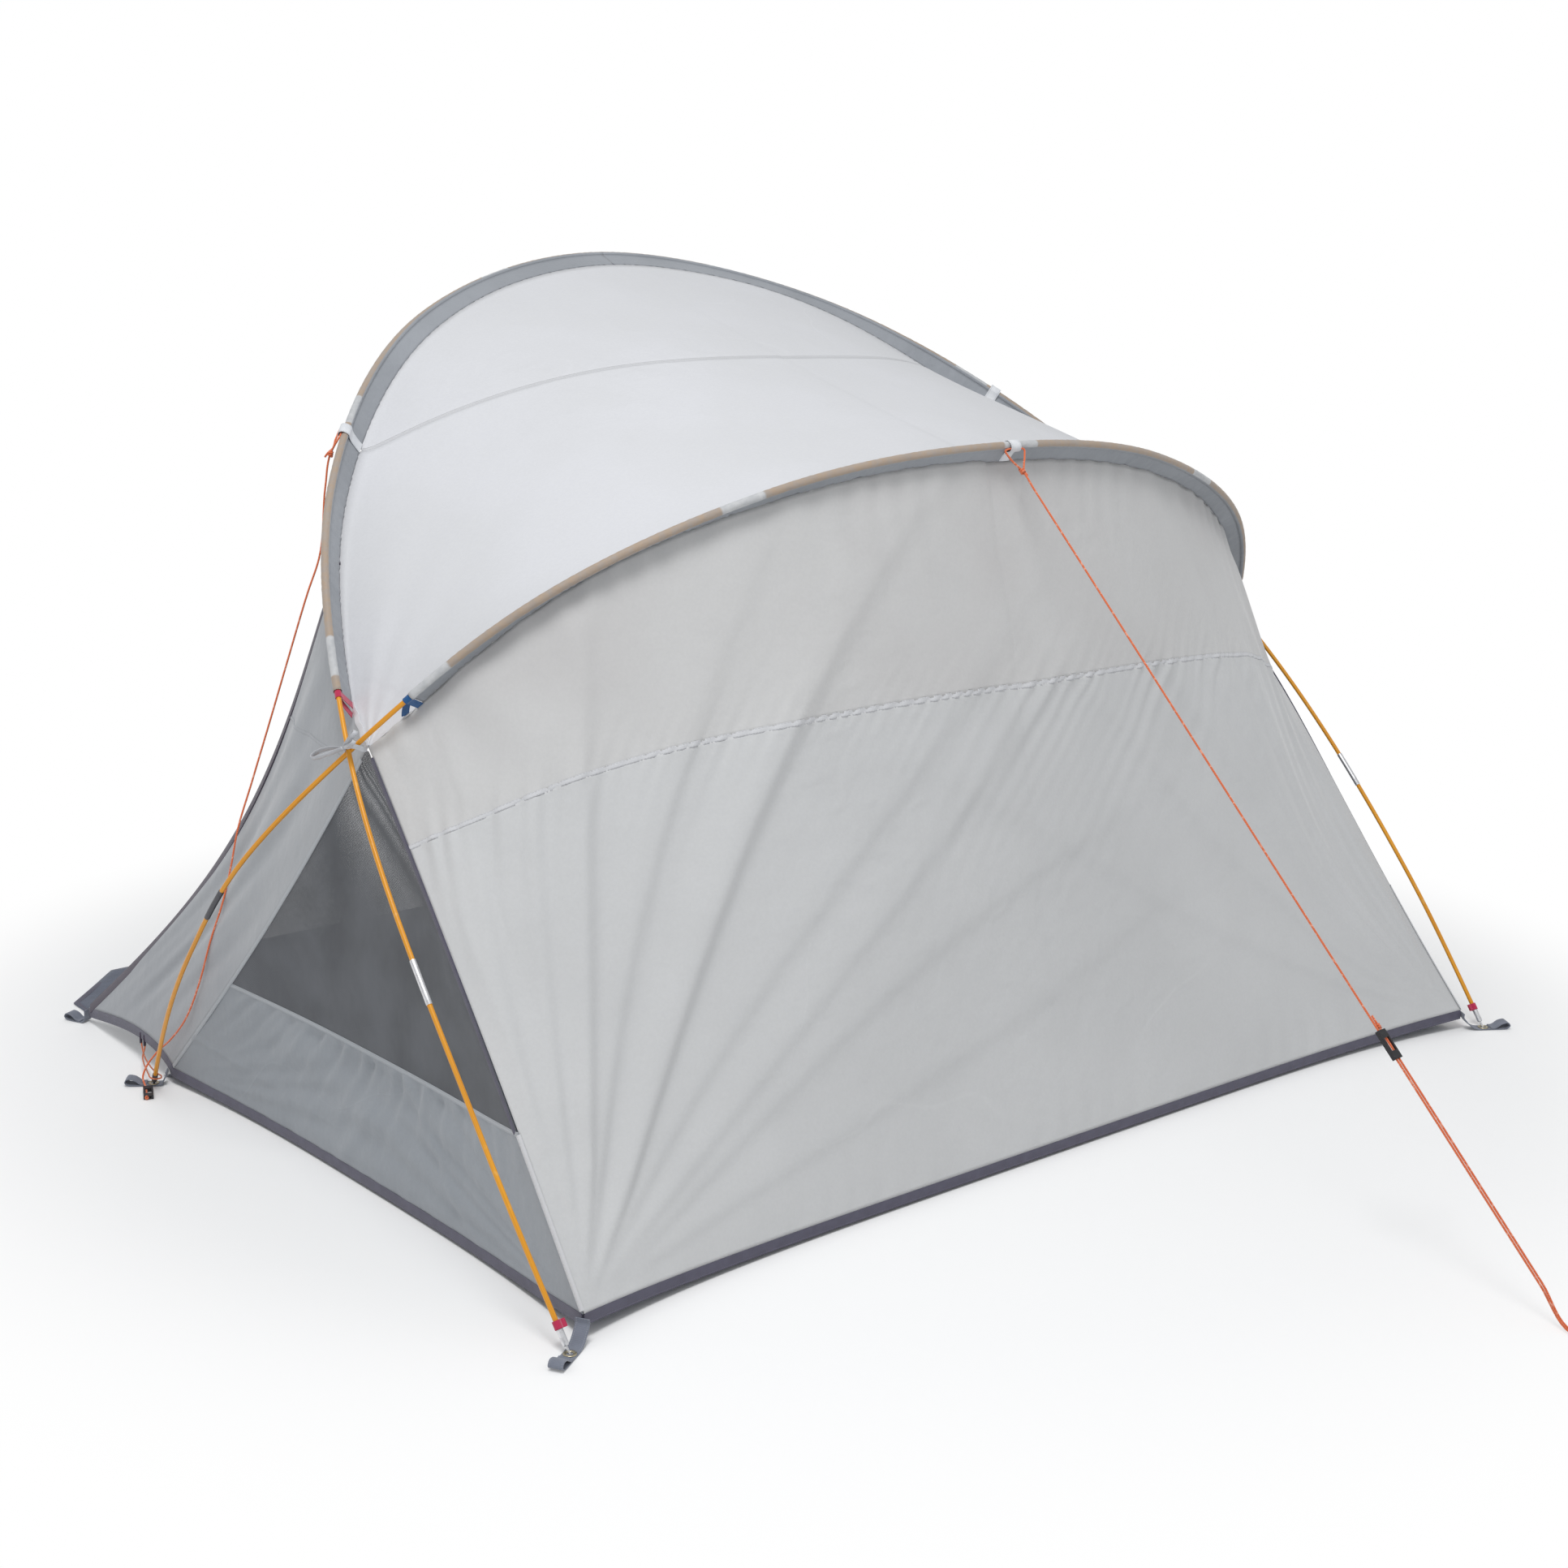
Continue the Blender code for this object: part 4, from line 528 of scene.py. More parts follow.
def tape_finish(name, colour, pitch, rows=(), stitch_colour=None, rough=0.75, sheen=0.3):
    """Woven tape, ribbon or webbing with a grosgrain rib and rows of stitches."""
    made = Finish(name, rough, sheen=sheen, specular=0.3)
    base = linear(*colour)
    along, _ = made.along_across()
    wave = made.maths("SINE", made.times(along, 2 * math.pi / pitch))
    rib = made.maths("MULTIPLY_ADD", wave, 0.5, 0.5)
    worn = made.ramp(made.noise(60.0, 3.0), 0.3, 0.75)
    tint = made.mix(made.times(rib, 0.35), base, scaled(base, 0.55))
    tint = made.mix(made.times(worn, 0.30), tint, scaled(base, 1.5, 0.01))
    layers = [(rib, RIB_HEIGHT), (made.noise(400.0, 2.0), 0.0001)]
    if rows:
        stitch = made.stitches(rows, 0.003, 0.0008)
        tint = made.mix(made.times(stitch, 0.8), tint, linear(*stitch_colour))
        layers.append((stitch, 0.0003))
    made.bump(*layers)
    return made.colour(tint).material


def net_finish(name, colour, pitch, thread):
    """Fine net: dark threads with open holes between them."""
    made = Finish(name, 0.7, sheen=0.15, specular=0.3)
    gates = []
    for run in made.along_across():
        gates.append(made.maths("LESS_THAN", made.maths("FRACT", made.maths("DIVIDE", run, pitch)), thread))
    threads = made.maths("MAXIMUM", *gates)
    cloudy = made.mix(made.ramp(made.noise(9.0, 3.0), 0.3, 0.7), linear(*colour), dimmed(colour, 0.86))
    made.feed(made.shader.inputs["Alpha"], threads)
    made.bump((made.noise(12.0, 3.0), 0.004), (threads, 0.0001))
    return made.colour(cloudy).material


def sleeve_finish(name, first_joint, segment):
    """Thin dark-grey cloth that lets the pole and its pale ferrules show through at the pocket."""
    made = Finish(name, 0.6, sheen=0.2, specular=0.35)
    along, across = made.along_across()
    flat = made.mix(made.ramp(made.noise(5.0, 3.0), 0.3, 0.7), linear(151, 155, 161), linear(140, 144, 150))
    pocket = made.ramp(made.maths("ABSOLUTE", across), POCKET_EDGE, POCKET_EDGE + POCKET_BLUR, 1.0, 0.0)
    steps = made.maths("DIVIDE", made.maths("SUBTRACT", along, first_joint - segment / 2), segment)
    offset = made.times(made.apart(made.maths("FRACT", steps), 0.5), segment)
    ferrule = made.ramp(offset, FERRULE_LENGTH / 2, FERRULE_LENGTH / 2 + 0.004, 1.0, 0.0)
    shown = made.mix(ferrule, linear(168, 148, 128), linear(196, 197, 198))
    streak = made.ramp(made.noise(90.0, 3.0), 0.2, 0.8, 0.55, 1.0)
    tint = made.mix(made.times(pocket, streak), flat, shown)
    stitch = made.stitches((SLEEVE_STITCH, -SLEEVE_STITCH), 0.003, 0.0009)
    tint = made.mix(made.times(stitch, 0.6), tint, linear(110, 114, 122))
    made.bump((made.noise(14.0, 3.0), 0.006), (made.noise(60.0, 3.0, 0.5), 0.0016),
              (made.weave(WEAVE_PITCH), WEAVE_HEIGHT), (stitch, STITCH_HEIGHT))
    return made.colour(tint).material


def pole_finish(name):
    """Pultruded fibreglass: amber resin with fine lengthwise streaks and scuffs."""
    made = Finish(name, 0.34)
    along, across = made.along_across()
    drawn_out = made.node("CombineXYZ", X=made.times(along, 6.0), Y=made.times(across, 900.0)).outputs[0]
    streak = made.noise(1.0, 4.0, 0.6, drawn_out)
    tint = made.mix(made.ramp(streak, 0.3, 0.7), linear(232, 162, 34), linear(204, 132, 20))
    scuff = made.ramp(made.noise(45.0, 4.0), 0.62, 0.75)
    tint = made.mix(made.times(scuff, 0.25), tint, linear(235, 205, 140))
    made.bump((streak, 0.00015), (made.noise(300.0, 2.0), 0.00005))
    return made.colour(tint).material


def metal_finish(name, colour, rough):
    """Brushed metal with turning marks and small scratches."""
    made = Finish(name, rough, metallic=1.0)
    along, _ = made.along_across()
    rings = made.noise(1.0, 1.0, 0.5, made.node("CombineXYZ", X=made.times(along, 600.0)).outputs[0])
    worn = made.ramp(made.noise(220.0, 4.0), 0.45, 0.7)
    tint = made.mix(made.times(worn, 0.35), linear(*colour), dimmed(colour, 0.72))
    made.feed(made.shader.inputs["Roughness"], made.ramp(rings, 0.2, 0.8, rough * 0.9, rough * 1.2))
    made.bump((rings, 0.00001))
    return made.colour(tint).material


def braid_finish(name, colour, fleck, radius):
    """Braided cord: crossing helical strands with a paler tracer."""
    made = Finish(name, 0.7, sheen=0.35, specular=0.3)
    along, across = made.along_across()
    turn = made.times(made.maths("DIVIDE", across, 2 * math.pi * radius), 4.0)
    step = made.maths("DIVIDE", along, radius * 4.5)
    strands = [made.maths("SINE", made.times(made.maths(way, step, turn), 2 * math.pi))
               for way in ("ADD", "SUBTRACT")]
    braid = made.maths("MULTIPLY_ADD", made.times(*strands), 0.5, 0.5)
    tint = made.mix(made.times(braid, 0.5), linear(*colour), dimmed(colour, 0.72))
    spot = made.ramp(made.noise(170.0, 2.0), 0.58, 0.66)
    tint = made.mix(made.times(spot, 0.5), tint, linear(*fleck))
    made.bump((braid, radius * 0.22))
    return made.colour(tint).material


def plastic_finish(name, colour):
    """Moulded plastic with a fine spark texture and rubbed spots."""
    made = Finish(name, 0.42)
    rubbed = made.ramp(made.noise(120.0, 3.0), 0.5, 0.75)
    tint = made.mix(made.times(rubbed, 0.35), linear(*colour), linear(*[value + 26 for value in colour]))
    made.bump((made.noise(900.0, 2.0), 0.00006))
    return made.colour(tint).material


ROOF = cloth_finish("roof_cloth", (210, 211, 215), (206, 207, 210), 0.003)
WALL_UPPER = cloth_finish("wall_upper_cloth", (197, 197, 197), (192, 191, 191), 0.004)
WALL = cloth_finish("wall_cloth", (197, 198, 199), (192, 193, 194), 0.004)
SIDE = cloth_finish("side_cloth", (148, 153, 159), (142, 147, 153), 0.008)
WING = cloth_finish("wing_cloth", (161, 164, 168), (155, 158, 163), 0.008)
SEAM = cloth_finish("seam_cloth", (200, 201, 204), (195, 196, 199), 0.002, rows=(0.0012, 0.0072))
SIDE_SEAM = cloth_finish("side_seam_cloth", (168, 172, 177), (160, 165, 170), 0.002, rows=(0.0015, 0.0055))
FLOOR = tape_finish("floor_cloth", (84, 91, 108), 0.0016)
NET = net_finish("window_net", (106, 109, 114), 0.0016, 0.55)
TAPE = tape_finish("binding_tape", (78, 76, 94), 0.0011, (0.0025,), (110, 108, 125))
DARK_TAPE = tape_finish("dark_binding", (58, 48, 66), 0.0011, (0.0025,), (84, 74, 92))
WEBBING = tape_finish("grey_webbing", (116, 121, 134), 0.0018, (0.002, 0.018), (150, 154, 165))
WHITE_TAPE = tape_finish("white_strap", (216, 219, 224), 0.0016, (0.002, 0.018), (190, 193, 200), sheen=0.2)
CRIMSON = tape_finish("crimson_ribbon", (182, 38, 78), 0.0010)
BLUE = tape_finish("blue_ribbon", (24, 82, 136), 0.0010)
SILVER = tape_finish("silver_ribbon", (190, 192, 197), 0.0009, rough=0.38, sheen=0.5)
CORD = braid_finish("guy_cord", (236, 118, 70), (250, 190, 165), GUY_RADIUS)
THIN_CORD = braid_finish("tie_cord", (214, 110, 62), (240, 180, 150), TIE_CORD_RADIUS)
ELASTIC = braid_finish("shock_cord", (225, 225, 222), (180, 180, 178), 0.001)
POLE = pole_finish("fibreglass")
METAL = metal_finish("ferrule_metal", (232, 232, 234), 0.42)
# Metal darkened as painted shade, for the rear arch's last ferrule and tip at its +X foot, where that end of
# the pole stands in shade
SHADED_METAL = metal_finish("shaded_ferrule", (96, 96, 100), 0.4)
BRASS = metal_finish("eyelet_metal", (196, 186, 160), 0.3)
BLACK = plastic_finish("runner_plastic", (34, 34, 37))
SLEEVE_FRONT = sleeve_finish("front_sleeve_cloth", FRONT_JOINTS[0], FRONT_SEGMENT)
SLEEVE_REAR = sleeve_finish("rear_sleeve_cloth", REAR_JOINTS[0], REAR_SEGMENT)


# Pieces
def piece(name, points, faces, finishes, spots, replaces=(), slot=None, body="shelter", thickness=0.0,
          marks=None):
    """A mesh piece with places in metres as its UV map; spots has one place per point."""
    mesh = bpy.data.meshes.new(name)
    mesh.from_pydata([tuple(map(float, p)) for p in points], [], faces)
    finishes = finishes if isinstance(finishes, (list, tuple)) else [finishes]
    for finish in finishes:
        mesh.materials.append(finish)
    layer = mesh.uv_layers.new(name="UVMap")
    spots = np.asarray(spots, float)
    corners = np.zeros(len(mesh.loops), np.int32)
    mesh.loops.foreach_get("vertex_index", corners)
    layer.data.foreach_set("uv", spots[corners].astype(np.float32).ravel())
    if marks is not None:
        mesh.polygons.foreach_set("material_index", np.asarray(marks, np.int32))
    made = bpy.data.objects.new(name, mesh)
    bpy.context.scene.collection.objects.link(made)
    mesh.validate()
    mesh.shade_smooth()
    if thickness:
        skin = made.modifiers.new("thickness", "SOLIDIFY")
        skin.thickness = thickness
        skin.offset = 0.0
    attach(made, body)
    if replaces:
        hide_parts(*replaces)
    return made


def grid_faces(rows, columns, closed=False):
    """Faces of a grid; closed joins the last column to the first."""
    faces = []
    for i in range(rows - 1):
        for j in range(columns if closed else columns - 1):
            n = (j + 1) % columns
            faces.append((i * columns + j, (i + 1) * columns + j, (i + 1) * columns + n, i * columns + n))
    return faces


def tube_faces(rows, sides):
    """Faces round a tube, with both ends closed."""
    last = (rows - 1) * sides
    ends = [tuple(range(sides)), tuple(range(last, last + sides))[::-1]]
    return grid_faces(rows, sides, closed=True) + ends


def ring(centre, radius, side, over, sides):
    """Angles and points round a centre."""
    for turn in range(sides):
        angle = 2 * math.pi * turn / sides
        yield angle, centre + radius * (math.cos(angle) * side + math.sin(angle) * over)


def grid_spots(grid):
    """Metres along and across a grid."""
    along = lengths_along(grid[:, grid.shape[1] // 2])
    across = lengths_along(grid[grid.shape[0] // 2])
    return np.stack(np.meshgrid(along, across, indexing="ij"), axis=-1).reshape(-1, 2)


def normals_of(grid):
    normal = np.cross(np.gradient(grid, axis=0), np.gradient(grid, axis=1))
    size = np.linalg.norm(normal, axis=2, keepdims=True)
    return normal / np.maximum(size, 1e-9)


def cloth_panel(name, grid, finish, replaces, slot, body="shelter"):
    """A sheet of cloth with a thin thickness."""
    made = piece(name, grid.reshape(-1, 3), grid_faces(*grid.shape[:2]), finish, grid_spots(grid),
                 replaces, slot, body, thickness=CLOTH)
    long = max(lengths_along(grid[:, j])[-1] for j in range(grid.shape[1]))
    wide = max(lengths_along(grid[i])[-1] for i in range(grid.shape[0]))
    return made


def strip(name, path, wide, width, thick, finish, replaces=(), slot=None, body="shelter", crown=0.0):
    """A flat or crowned band along a path; wide is its width direction, one or one per point."""
    path = np.asarray(path, float)
    forward = unit(np.gradient(path, axis=0))
    wide = np.broadcast_to(np.asarray(wide, float), path.shape)
    wide = unit(wide - np.sum(wide * forward, axis=1, keepdims=True) * forward)
    thin = np.cross(forward, wide)
    outline = [(a * width / 2, thick / 2 + crown * (1 - a ** 2)) for a in np.linspace(-1, 1, 7)]
    outline += [(a, -b) for a, b in outline[::-1]]
    points = [centre + w * a + t * b for centre, w, t in zip(path, wide, thin) for a, b in outline]
    spots = [(s, a + width / 2) for s in lengths_along(path) for a, _ in outline]
    made = piece(name, points, tube_faces(len(path), len(outline)), finish, spots, replaces, slot, body)
    made.data.set_sharp_from_angle(angle=math.radians(50))
    return made


def tube(name, path, radius, finish, replaces=(), slot=None, body="shelter", sides=10):
    """A round cord along a path."""
    points, faces, spots = tube_parts(path, radius, sides)
    return piece(name, points, faces, finish, spots, replaces, slot, body)


def tube_parts(path, radius, sides):
    path = np.asarray(path, float)
    forward = unit(np.gradient(path, axis=0))
    side = unit(np.cross(forward[0], (0.31, 0.53, 0.79)))
    points, spots = [], []
    for centre, ahead, length in zip(path, forward, lengths_along(path)):
        side = unit(side - np.dot(side, ahead) * ahead)
        for angle, point in ring(centre, radius, side, np.cross(ahead, side), sides):
            points.append(point)
            spots.append((length, radius * angle))
    return points, tube_faces(len(path), sides), spots


def joined(name, parts, finish, **options):
    """One piece from several closed meshes."""
    points, faces, spots = [], [], []
    for some_points, some_faces, some_spots in parts:
        start = len(points)
        points += list(some_points)
        faces += [tuple(start + index for index in face) for face in some_faces]
        spots += list(some_spots)
    return piece(name, points, faces, finish, spots, **options)


# Camera
def set_camera():
    a, e = CAMERA_AZIMUTH, CAMERA_ELEVATION
    back = np.array([math.sin(a) * math.cos(e), -math.cos(a) * math.cos(e), math.sin(e)])
    right = unit(np.cross(-back, (0.0, 0.0, 1.0)))
    up = np.cross(right, -back)
    across = math.cos(CAMERA_ROLL) * right + math.sin(CAMERA_ROLL) * up
    above = -math.sin(CAMERA_ROLL) * right + math.cos(CAMERA_ROLL) * up
    data = bpy.data.cameras.new("camera")
    data.sensor_width = SENSOR
    data.lens = FOCAL_PIXELS * SENSOR / PHOTO_SIZE
    data.shift_x = -CENTRE_SHIFT[0] / PHOTO_SIZE
    data.shift_y = CENTRE_SHIFT[1] / PHOTO_SIZE
    camera = bpy.data.objects.new("camera", data)
    bpy.context.scene.collection.objects.link(camera)
    rows = [[across[k], above[k], back[k], CAMERA_PLACE[k]] for k in range(3)] + [[0, 0, 0, 1]]
    camera.matrix_world = Matrix(rows)
    bpy.context.scene.camera = camera


# Cords and their knots
def knot_parts(centre, direction, turns, coil, radius):
    """A wound knot about a line, its turns side by side."""
    direction = unit(direction)
    side = unit(np.cross(direction, (0.2, 0.1, 1.0)))
    over = np.cross(direction, side)
    steps = 16
    spacing = 2.05 * radius
    path = []
    for k in range(int(turns * steps) + 1):
        angle = 2 * math.pi * k / steps
        shift = (k / steps - turns / 2) * spacing
        around = math.cos(angle) * side + math.sin(angle) * over
        path.append(np.asarray(centre) + direction * shift + coil * around)
    return tube_parts(path, radius, 8)


def guy_knot(name, centre, direction, turns, coil, thick=GUY_RADIUS, **options):
    """A knot of guy cord; coil is its winding's radius as a multiple of the cord's."""
    parts = knot_parts(centre, direction, turns, coil * GUY_RADIUS, thick)
    return joined(name, [parts], CORD, slot="guy_cord", **options)


def build_cords():
    rear_line = smooth_line(REAR_GUY, 8)
    rear = tube("rear_guy_cord", rear_line, GUY_RADIUS, CORD, ["rear_guy_line"], "guy_cord")
    front_line = smooth_line(FRONT_GUY, 8)
    front = tube("front_guy_cord", front_line, GUY_RADIUS, CORD, ["front_guy_line"], "guy_cord")
    tie_line = smooth_line(WING_TIE, 8)
    tie = tube("wing_tie_elastic", tie_line, TIE_CORD_RADIUS, THIN_CORD, ["wing_tie_cord"], "guy_cord")
    along = unit(np.array(REAR_GUY_FOOT) - REAR_GUY_KNOT)
    rear_knot = guy_knot("rear_guy_knot", REAR_GUY_KNOT, along, 2.5, 2.1)
    front_knot = guy_knot("front_guy_knot", FRONT_GUY[11], (0.16, -0.1, -1.0), 2.5, 2.1)
    beside = unit(np.cross((0.0, 0.0, 1.0), along))
    stop = np.array(REAR_GUY_KNOT) + along * (RUNNER_DISTANCE - STOPPER_LEAD) + beside * GUY_SPACING
    stopper = guy_knot("rear_stopper_knot", stop, along, 2.6, 1.35, GUY_RADIUS * 0.9,
                       replaces=["rear_guy_stopper"], body="rear_tensioner")
    front_stop = guy_knot("front_end_knot", FRONT_GUY[-1], (0.4, 0.92, 0.0), 1.6, 1.2)
    prongs = []
    for foot in (WING_TIE[0], WING_TIE[-1]):
        route = np.array(foot) + ((0, 0, 0.012), (0.0006, 0, 0.004), (0.0008, 0, -0.006))
        prongs.append(tube_parts(route, PRONG_RADIUS, 8))
    prong = joined("wing_tie_prongs", prongs, DARK_TAPE, slot="dark_binding")
    for made, line, radius, far, lay, pieces in (
            (rear, rear_line, GUY_RADIUS, "knot", "taut", [rear_knot, stopper, "rear_guy_runner"]),
            (front, front_line, GUY_RADIUS, "knot", "hanging", [front_knot, front_stop, "front_guy_runner"]),
            (tie, tie_line, TIE_CORD_RADIUS, "object", "taut", [prong])):
        tuple(map(float, line[0]))
        float(lengths_along(line)[-1])
        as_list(pieces)


# Poles
def lathe_along(arch, outline, sides=14):
    """Rings about the bent pole through places and radii, closed at both ends."""
    stops = []
    for (start, radius), (end, next_radius) in zip(outline, outline[1:]):
        pieces = max(1, int(abs(end - start) / 0.014))
        for k in range(pieces):
            share = k / pieces
            stops.append((start + (end - start) * share, radius + (next_radius - radius) * share))
    stops.append(outline[-1])
    places = np.array([s for s, _ in stops])
    _, inward, across = arch.frame(places)
    centres = arch.point(places)
    points, spots = [], []
    for k, (s, radius) in enumerate(stops):
        for angle, point in ring(centres[k], radius, inward[k], across[k], sides):
            points.append(point)
            spots.append((s, POLE_RADIUS * angle))
    return points, tube_faces(len(stops), sides), spots


def tip_outline(foot, way):
    """Places and radii from a pin's end up its tip to the pole; way is 1 or -1 along the arch."""
    shoulder = PIN_LENGTH
    mouth = PIN_LENGTH + TIP_SOCKET
    outline = [(0.0006, 0.0007), (0.0025, PIN_RADIUS), (shoulder - 0.0006, PIN_RADIUS),
               (shoulder, TIP_RADIUS * 0.8), (shoulder + 0.0015, TIP_RADIUS), (mouth - 0.001, TIP_RADIUS),
               (mouth, POLE_RADIUS)]
    return [(foot + way * place, radius) for place, radius in outline][::way]


def ferrule_outline(joint):
    half = FERRULE_LENGTH / 2
    edge = FERRULE_RADIUS * 0.94
    outline = [(-half - FERRULE_STEP, POLE_RADIUS), (-half, edge), (-half + 0.001, FERRULE_RADIUS),
               (half - 0.001, FERRULE_RADIUS), (half, edge), (half + FERRULE_STEP, POLE_RADIUS + 0.0002)]
    return [(joint + place, radius) for place, radius in outline]


def build_poles():
    """Each segment with its ferrule at the far end, and with a tip and pin at each foot."""
    tip = PIN_LENGTH + TIP_SOCKET
    half = FERRULE_LENGTH / 2
    for arch, name, joints in ((FRONT, "front", FRONT_JOINTS), (REAR, "rear", REAR_JOINTS)):
        ends = [-arch.half_length, *joints, arch.half_length]
        for k, (start, end) in enumerate(zip(ends, ends[1:])):
            if k == 0:
                outline = tip_outline(start, 1)
                metal = [(start, start + tip)]
            else:
                outline = [(start + 0.0002, POLE_RADIUS * 0.9), (start + 0.0006, POLE_RADIUS)]
                metal = []
            if k < len(joints):
                outline += ferrule_outline(end)
                metal.append((end - half - FERRULE_STEP, end + half))
            else:
                outline += tip_outline(end, -1)
                metal.append((end - tip, end))
            points, faces, spots = lathe_along(arch, outline)
            marks = []
            for face in faces:
                middle = float(np.mean([spots[index][0] for index in face]))
                marks.append(int(any(low <= middle <= high for low, high in metal)))
            # Painted shade: the rear arch's last ferrule and its tip at the +X foot get the darkened metal
            dark = name == "rear" and k >= len(joints) - 1
            made = piece(f"{name}_pole_{k + 1}", points, faces, [POLE, SHADED_METAL if dark else METAL], spots,
                         [f"{name}_pole_segment_{k + 1}"], "fibreglass", marks=marks)
            made.data.set_sharp_from_angle(angle=math.radians(40))
        reach = arch.half_length - PIN_LENGTH - 0.003
        elastic = arch.point(np.linspace(-reach, reach, 160))
        tube(f"{name}_shock_elastic", elastic, 0.001, ELASTIC, [f"{name}_shock_cord"], "shock_cord", sides=6)


# Sleeves
def sleeve_grid(arch, places):
    """Folded cloth: up one face of the flange, round the pole and down the other face."""
    depth, drift = flange(arch, places)
    along, inward, across = arch.frame(places)
    tail = inward * depth[:, None] + across * drift[:, None]
    reach = np.linalg.norm(tail, axis=1)
    tail = unit(tail)
    side = unit(np.cross(along, tail))
    centre = arch.point(places)
    flats = np.array([0.0, 0.12, 0.3, 0.5, 0.72, 0.9])
    grid, spots = [], []
    ripple = 0.0007 * np.sin(places * 330) * np.sin(places * 91) + 0.0005 * np.sin(places * 523 + 1.0)
    for sign, order in ((1, flats), (-1, flats[::-1])):
        for share in order:
            out = reach * (1 - share) + SLEEVE_RADIUS * math.cos(SLEEVE_ROOT) * share
            aside = CLOTH * (1 - share) + SLEEVE_RADIUS * math.sin(SLEEVE_ROOT) * share
            wave = ripple * math.sin(math.pi * min(1.0, share + 0.25))
            grid.append(centre + tail * out[:, None] + side * (sign * aside + wave)[:, None])
            spots.append(sign * (SLEEVE_RADIUS * 3.0 + (1 - share) * 0.03))
        if sign == 1:
            radius = (SLEEVE_RADIUS + ripple * 0.25)[:, None]
            for angle in np.linspace(SLEEVE_ROOT, 2 * math.pi - SLEEVE_ROOT, 19):
                grid.append(centre + radius * (math.cos(angle) * tail + math.sin(angle) * side))
                spots.append(SLEEVE_RADIUS * (math.pi - angle))
    return np.stack(grid, axis=1), np.array(spots)


def build_crown_joint():
    """The hemmed ends of the two front sleeves, where they meet at the crown."""
    half = 0.0022
    grid, _ = sleeve_grid(FRONT, np.array([-half, 0.0, half]))
    middle = grid[1]
    forward = unit(grid[2] - grid[0])
    outward = np.cross(forward, unit(np.gradient(middle, axis=0)))
    strip("sleeve_joint", middle + outward * 0.0009, forward, 0.005, 0.0009, TAPE, slot="binding_tape")


def build_sleeves():
    for name, arch, start, end, finish in (
            ("front_sleeve_left", FRONT, 0.0, FRONT_SLEEVE_END, SLEEVE_FRONT),
            ("front_sleeve_right", FRONT, -FRONT_SLEEVE_END, 0.0, SLEEVE_FRONT),
            ("rear_sleeve", REAR, -REAR_SLEEVE_END, REAR_SLEEVE_END, SLEEVE_REAR)):
        places = np.linspace(start, end, int((end - start) / 0.006))
        grid, across = sleeve_grid(arch, places)
        spots = np.stack(np.meshgrid(places, across, indexing="ij"), axis=-1).reshape(-1, 2)
        made = piece(f"{name}_cloth", grid.reshape(-1, 3), grid_faces(*grid.shape[:2]), finish, spots,
                     [name], "sleeve_cloth", thickness=0.0004)
        wide = lengths_along(grid[len(places) // 2])[-1]


# Canopy
def ray_folds(across, up, depth):
    """Folds of a side band that fan out from a corner: across and up are metres from it."""
    angle = np.degrees(np.arctan2(across, np.maximum(up, 1e-4)))
    reach = np.hypot(across, up)
    height = np.zeros_like(reach)
    for centre, strength in SIDE_FOLDS:
        bend = centre + 2.4 * np.sin(2.3 * reach + centre)
        off = (angle - bend) / (2.2 + 0.035 * centre)
        height += strength * (np.exp(-off ** 2) - 0.45 * bell(off + 2.1, 1.5))
    return -depth * height * climb(reach, 0.40) * np.exp(-reach ** 4)


def pleat_fan(across, up, folds):
    """Soft pleats from a corner: a long slope on the side of the seam, then a steep one."""
    long_slope, steep_slope, least_slope = 0.058, 0.017, 0.004
    angle = np.arctan2(across, np.maximum(up, 1e-4))
    reach = np.hypot(across, up)
    height = np.zeros_like(reach)
    for centre, strength in folds:
        bend = math.radians(centre) + 0.030 * np.sin(3.1 * reach + centre)
        off = (angle - bend) * reach
        wide = np.where(off < 0, long_slope, steep_slope) * (1 - fade(reach, 0.45)) + least_slope
        height += strength * bell(off, wide)
    return height * climb(reach, 0.22) * np.exp(-(reach / 1.25) ** 8)


def seam_pleats(run, below):
    """Gathers that the middle seam lets into both panels, slanting with the pull of the corners."""
    slant = np.tan(np.radians(np.interp(run, PLEAT_PLACES, PLEAT_SLANTS)))
    met = run + np.maximum(below, -0.3) * slant
    wave = np.sin(met * 165 + 2.6 * np.sin(met * 17) + 1.3 * np.sin(met * 5.3))
    fine = wander(met, 291, 2.0, 31)
    strength = (0.52 + 0.48 * np.sin(met * 6.1 + 0.8)) * (0.62 + 0.38 * wander(met, 33, 2, 9))
    depth = np.where(below > 0, 0.0030, 0.0018)
    reach = np.where(below > 0, 0.13, 0.055)
    away = np.abs(below)
    return depth * strength * wave * fade(away, reach) + 0.0010 * fine * fade(away, 0.035)


def wall_seam(share):
    """How far down the rear wall its middle seam runs."""
    return WALL_SEAM_SIDE + (WALL_SEAM_MIDDLE - WALL_SEAM_SIDE) * (1 - (2 * share - 1) ** 2)


def far_bulge(down):
    """Slack of the rear wall's far edge: it stands out near its top and is drawn in lower down."""
    down = np.clip(down, 0, 1)
    return FAR_BULGE * 1.6 * hump(down ** 0.55) * (1 - 1.55 * down)


